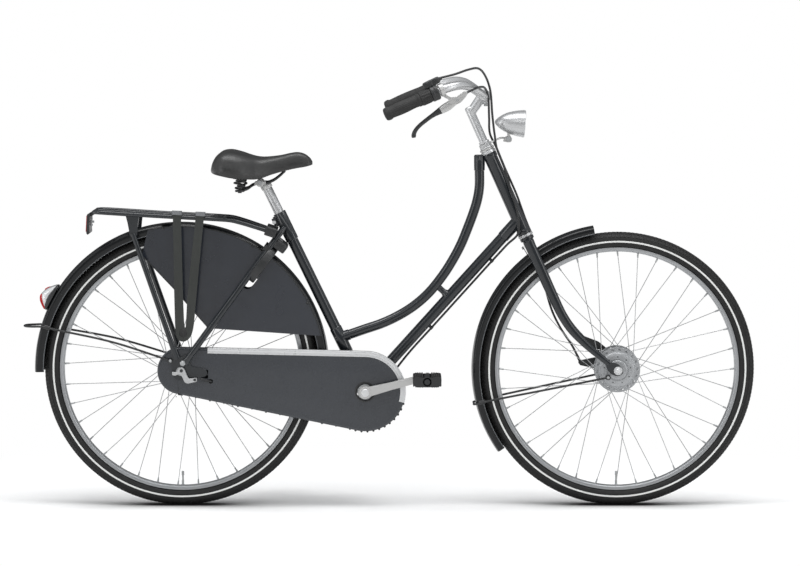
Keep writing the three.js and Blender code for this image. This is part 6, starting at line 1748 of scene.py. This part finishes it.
drum = [(5.5, 25.5), (48.6, 25.5), (50, 26.6), (50, 33.4), (48.8, 35), (46, 36.4), (43.6, 39.6),
    (40, 41.8), (36, 43), (22, 43), (20, 41.6), (14, 41.6), (12, 43), (5.5, 43)]
lever_plate = [(FRONT[0] - 10, 350), (FRONT[0] - 93, 362), (FRONT[0] - 98, 374), (FRONT[0] - 10, 378)]
reaction_plate = [(FRONT[0] - 20, 372), (FRONT[0] - 92, 428), (FRONT[0] - 86, 440), (FRONT[0] - 10, 396)]
fins = []
for i in range(24):
    fin = [off_axis(FRONT, 15 * i, r, w) for r, w in ((37, -0.9), (49.4, -0.9), (49.4, 0.9), (37, 0.9))]
    fins.append(plate(fin, 34, 37.4))
piece("roller_brake_drum", "steering", "black_plastic", [turned(drum, FRONT, sides=72),
    soft_plate(lever_plate, 38, 42.4, 2), soft_plate(reaction_plate, 38, 42.4, 2)] + fins, "roller_brake",
    bevel=0.3, smooth=40)

# %% [markdown]
# ## Cables
# The brake cable turns with the bar and runs down to the front hub. The gear cable
# makes a loop in front of the head tube, so it can bend when one steers, and goes on
# along the down tube into the chain case.

# %% Cables
brake_route = [ferrule + 2.3 * cable_way, ferrule + 12 * cable_way, (752, -238, 1091), (771, -178, 1096),
    (786, -108, 1090.5), (795.5, -52, 1066), (799, -8, 1013), (802, 12, 970), head(655, 24, 14),
    head(600, 22.5, 14), head(520, 22, 14), head(480, 19, 17), head(450, 17, 23), head(425, 16, 34),
    head(402, 13, 50), head(380, 8, 57), head(340, 3, 56.5), head(270, -8, 55), head(200, -17, 52),
    head(150, -15, 49), head(95, -6, 47), (FRONT[0] - 93, 46, 371)]
brake_line = curve_through(brake_route)
piece("brake_cable_cover", "steering", "cable_black", [tube(brake_line, 2.9, 16)], "brake_cable",
    smooth=60)
ends = [tube([brake_line[0], brake_line[1], brake_line[6], brake_line[7]], [3.2, 3.4, 3.4, 2.8], 18),
    tube([brake_line[-1], brake_line[-2], brake_line[-4], brake_line[-5]], [3.2, 3.4, 3.4, 2.8], 18)]
piece("brake_cable_ends", "steering", "cable_black", ends, smooth=50)
loop_route = [cable_from, (705, -258, 1130), (740, -228, 1141), (766, -180, 1143), (785, -125, 1124),
    (800, -76, 1084), (806, -44, 1024), (810, -31.5, 990)]
piece("gear_cable_loop", "steering", "cable_black", [tube(curve_through(loop_route, 9), 2.9, 16)],
    "shift_cable_loop", smooth=60)
gear_route = [(810, -31.4, 989.6), (813.6, -24, 965), head(655, 24, -15), head(600, 21, -15),
    head(540, 13, -21), head(470, 2, -23.5), head(430, -16, -22), down(530, 20, -13),
    down(500, CABLE_DROP, -3), *(down(t, CABLE_DROP) for t in (470, 400, 300, 235, 150)), down(90, 24, -2),
    (505, -8, 290), (478, -14, 277.5), (440, -21, 285), (380, -25.5, 293), (300, -26.4, 303),
    (200, -26, 317), (135, -25.8, 327), (114, -26.6, 330), (104, -31, 331), (94, -38, 331), (84, -46, 331),
    (80, -54, 331), (78, -61, 331), (69, -68, 334), (50, -72, 340)]
gear_line = curve_through(gear_route)
BEND_LOW, BEND_HIGH = head(560), np.array([818.4, 0, 989.6])
piece("gear_cable_run", None, "cable_black", [tube(gear_line, 2.9, 16)], "shift_cable", smooth=60,
    between=("frame", "steering", BEND_LOW, BEND_HIGH))
print("cables made")

# %% [markdown]
# ## Seat post and saddle
# The post is a plain polished tube. Clamped on top sits the saddle's wire work, which
# rests on two coil springs at the back.

# %% Seat post and springs
piece("seat_post_tube", "seat", "chrome", [tube([seat(372), seat(372.6), seat(591), seat(592)],
    [12, 12.6, 12.6, 12], 48)], "seat_post", smooth=45)
CLAMP = np.array([206.0, 0, 842])
clamp_parts = [tube([seat(583), seat(584), seat(594.6), seat(596)], [14.4, 15, 15, 14.2], 40)]
for side in (-1, 1):
    disc_at = [side * y for y in (12, 13, 31, 32)]
    clamp_parts.append(tube([np.array([CLAMP[0], y, CLAMP[2] + 2]) for y in disc_at], [9.2, 9.8, 9.8, 9],
        36))
    clamp_parts.append(plate([(CLAMP[0] - 15, CLAMP[2] - 4), (CLAMP[0] + 15, CLAMP[2] - 1.6),
        (CLAMP[0] + 15, CLAMP[2] + 6.5), (CLAMP[0] - 15, CLAMP[2] + 4)], side * 16.4, side * 25.6))
clamp_parts.append(across(CLAMP[0], CLAMP[2] + 3, -12.5, 12.5, 9.6, 32))
piece("saddle_clamp_body", "seat", "satin_alloy", clamp_parts, "saddle_clamp", bevel=0.5, smooth=42)
nuts = [across(CLAMP[0], CLAMP[2] + 3, side * 31.5, side * 37.5, 6.6, 6) for side in (-1, 1)]
piece("saddle_clamp_nuts", "seat", "zinc", nuts, bevel=0.5)
SPRING, SPRING_TALL = np.array([155.0, 52, 826]), 39.0
wire_parts = []
for side in (-1, 1):
    wire = [(SPRING[0], side * SPRING[1], SPRING[2]), (172, side * 42, 829), (188, side * 21, 839),
        (206, side * 21, 844), (226, side * 21, 845), (241, side * 18, 851), (256, side * 12, 862),
        (268, side * 4, 873.2)]
    wire_parts.append(tube(curve_through(wire), 3.5, 18))
    coil, radii = [], []
    for k in range(181):
        t = k / 180
        turn = 2 * math.pi * 3 * t
        radius = 9.4 + 9.4 * t
        coil.append((SPRING[0] + radius * math.cos(turn), side * SPRING[1] + radius * math.sin(turn),
            SPRING[2] + SPRING_TALL * t))
    wire_parts.append(tube(coil, 2.6, 14))
    foot_at = np.array([SPRING[0], side * SPRING[1], SPRING[2]])
    up = np.array([0.0, 0, 1])
    wire_parts.append(tube([foot_at - 3.5 * up, foot_at - 3 * up, foot_at + 1.2 * up, foot_at + 1.6 * up],
        [11.6, 12.4, 12.4, 11.6], 36))
    wire_parts.append(tube([foot_at + (SPRING_TALL + lift) * up for lift in (-2.2, -1.8, 2, 2.4)],
        [19, 20, 20, 19], 36))
    wire_parts.append(tube([foot_at - 6.4 * up, foot_at + 8 * up], 5.2, 6))
wire_parts.append(across(SPRING[0], SPRING[2] + SPRING_TALL, -52, 52, 4, 20))
wire_parts.append(across(268, 873.2, -7, 7, 3.5, 18))
piece("saddle_wires", "seat", "black_plastic", wire_parts, "saddle_frame", bevel=0.3, smooth=45)

# %% [markdown]
# The saddle is a foam pad under vinyl. Its sides bulge over a stiff base and its top
# has a shallow dip along the middle, so it is modelled as a full, soft body.

# %% Saddle cover
SADDLE = [(80, 46, 883, 876), (84, 66, 898, 872), (94, 86, 915, 869), (110, 98, 927, 866),
    (130, 101, 930, 862), (155, 95, 925, 859), (180, 80, 917, 857), (198, 66, 912.5, 856.5),
    (215, 56, 911, 860), (232, 47, 912, 866), (260, 37, 915.5, 874), (285, 32, 921, 880),
    (303, 29, 923, 883.5), (320, 26, 919, 886), (334, 21, 909, 889), (341, 12, 899, 891)]
CROSS = [(-1, 0.0), (-1.03, 0.14), (-1.03, 0.3), (-1.0, 0.48), (-0.95, 0.66), (-0.84, 0.84), (-0.68, 0.94),
    (-0.5, 0.985), (-0.3, 0.99), (-0.14, 0.97), (0, 0.955), (0.14, 0.97), (0.3, 0.99), (0.5, 0.985),
    (0.68, 0.94), (0.84, 0.84), (0.95, 0.66), (1.0, 0.48), (1.03, 0.3), (1.03, 0.14), (1, 0.0),
    (0.97, -0.02), (0.93, 0.02), (0.88, 0.12), (0.7, 0.155), (0.4, 0.16), (0, 0.16), (-0.4, 0.16),
    (-0.7, 0.155), (-0.88, 0.12), (-0.93, 0.02), (-0.97, -0.02)]
saddle_line = curve_through(SADDLE, 4)
saddle_rings = []
for x, half, top, skirt in saddle_line:
    row = curve_through([(x, y * half, skirt + z * (top - skirt)) for y, z in CROSS + CROSS[:1]], 2)[:-1]
    saddle_rings.append(row)
cover = piece("saddle_pad", "seat", "saddle_vinyl", [skin(saddle_rings)], "saddle_cover", smooth=70)
print("saddle made")
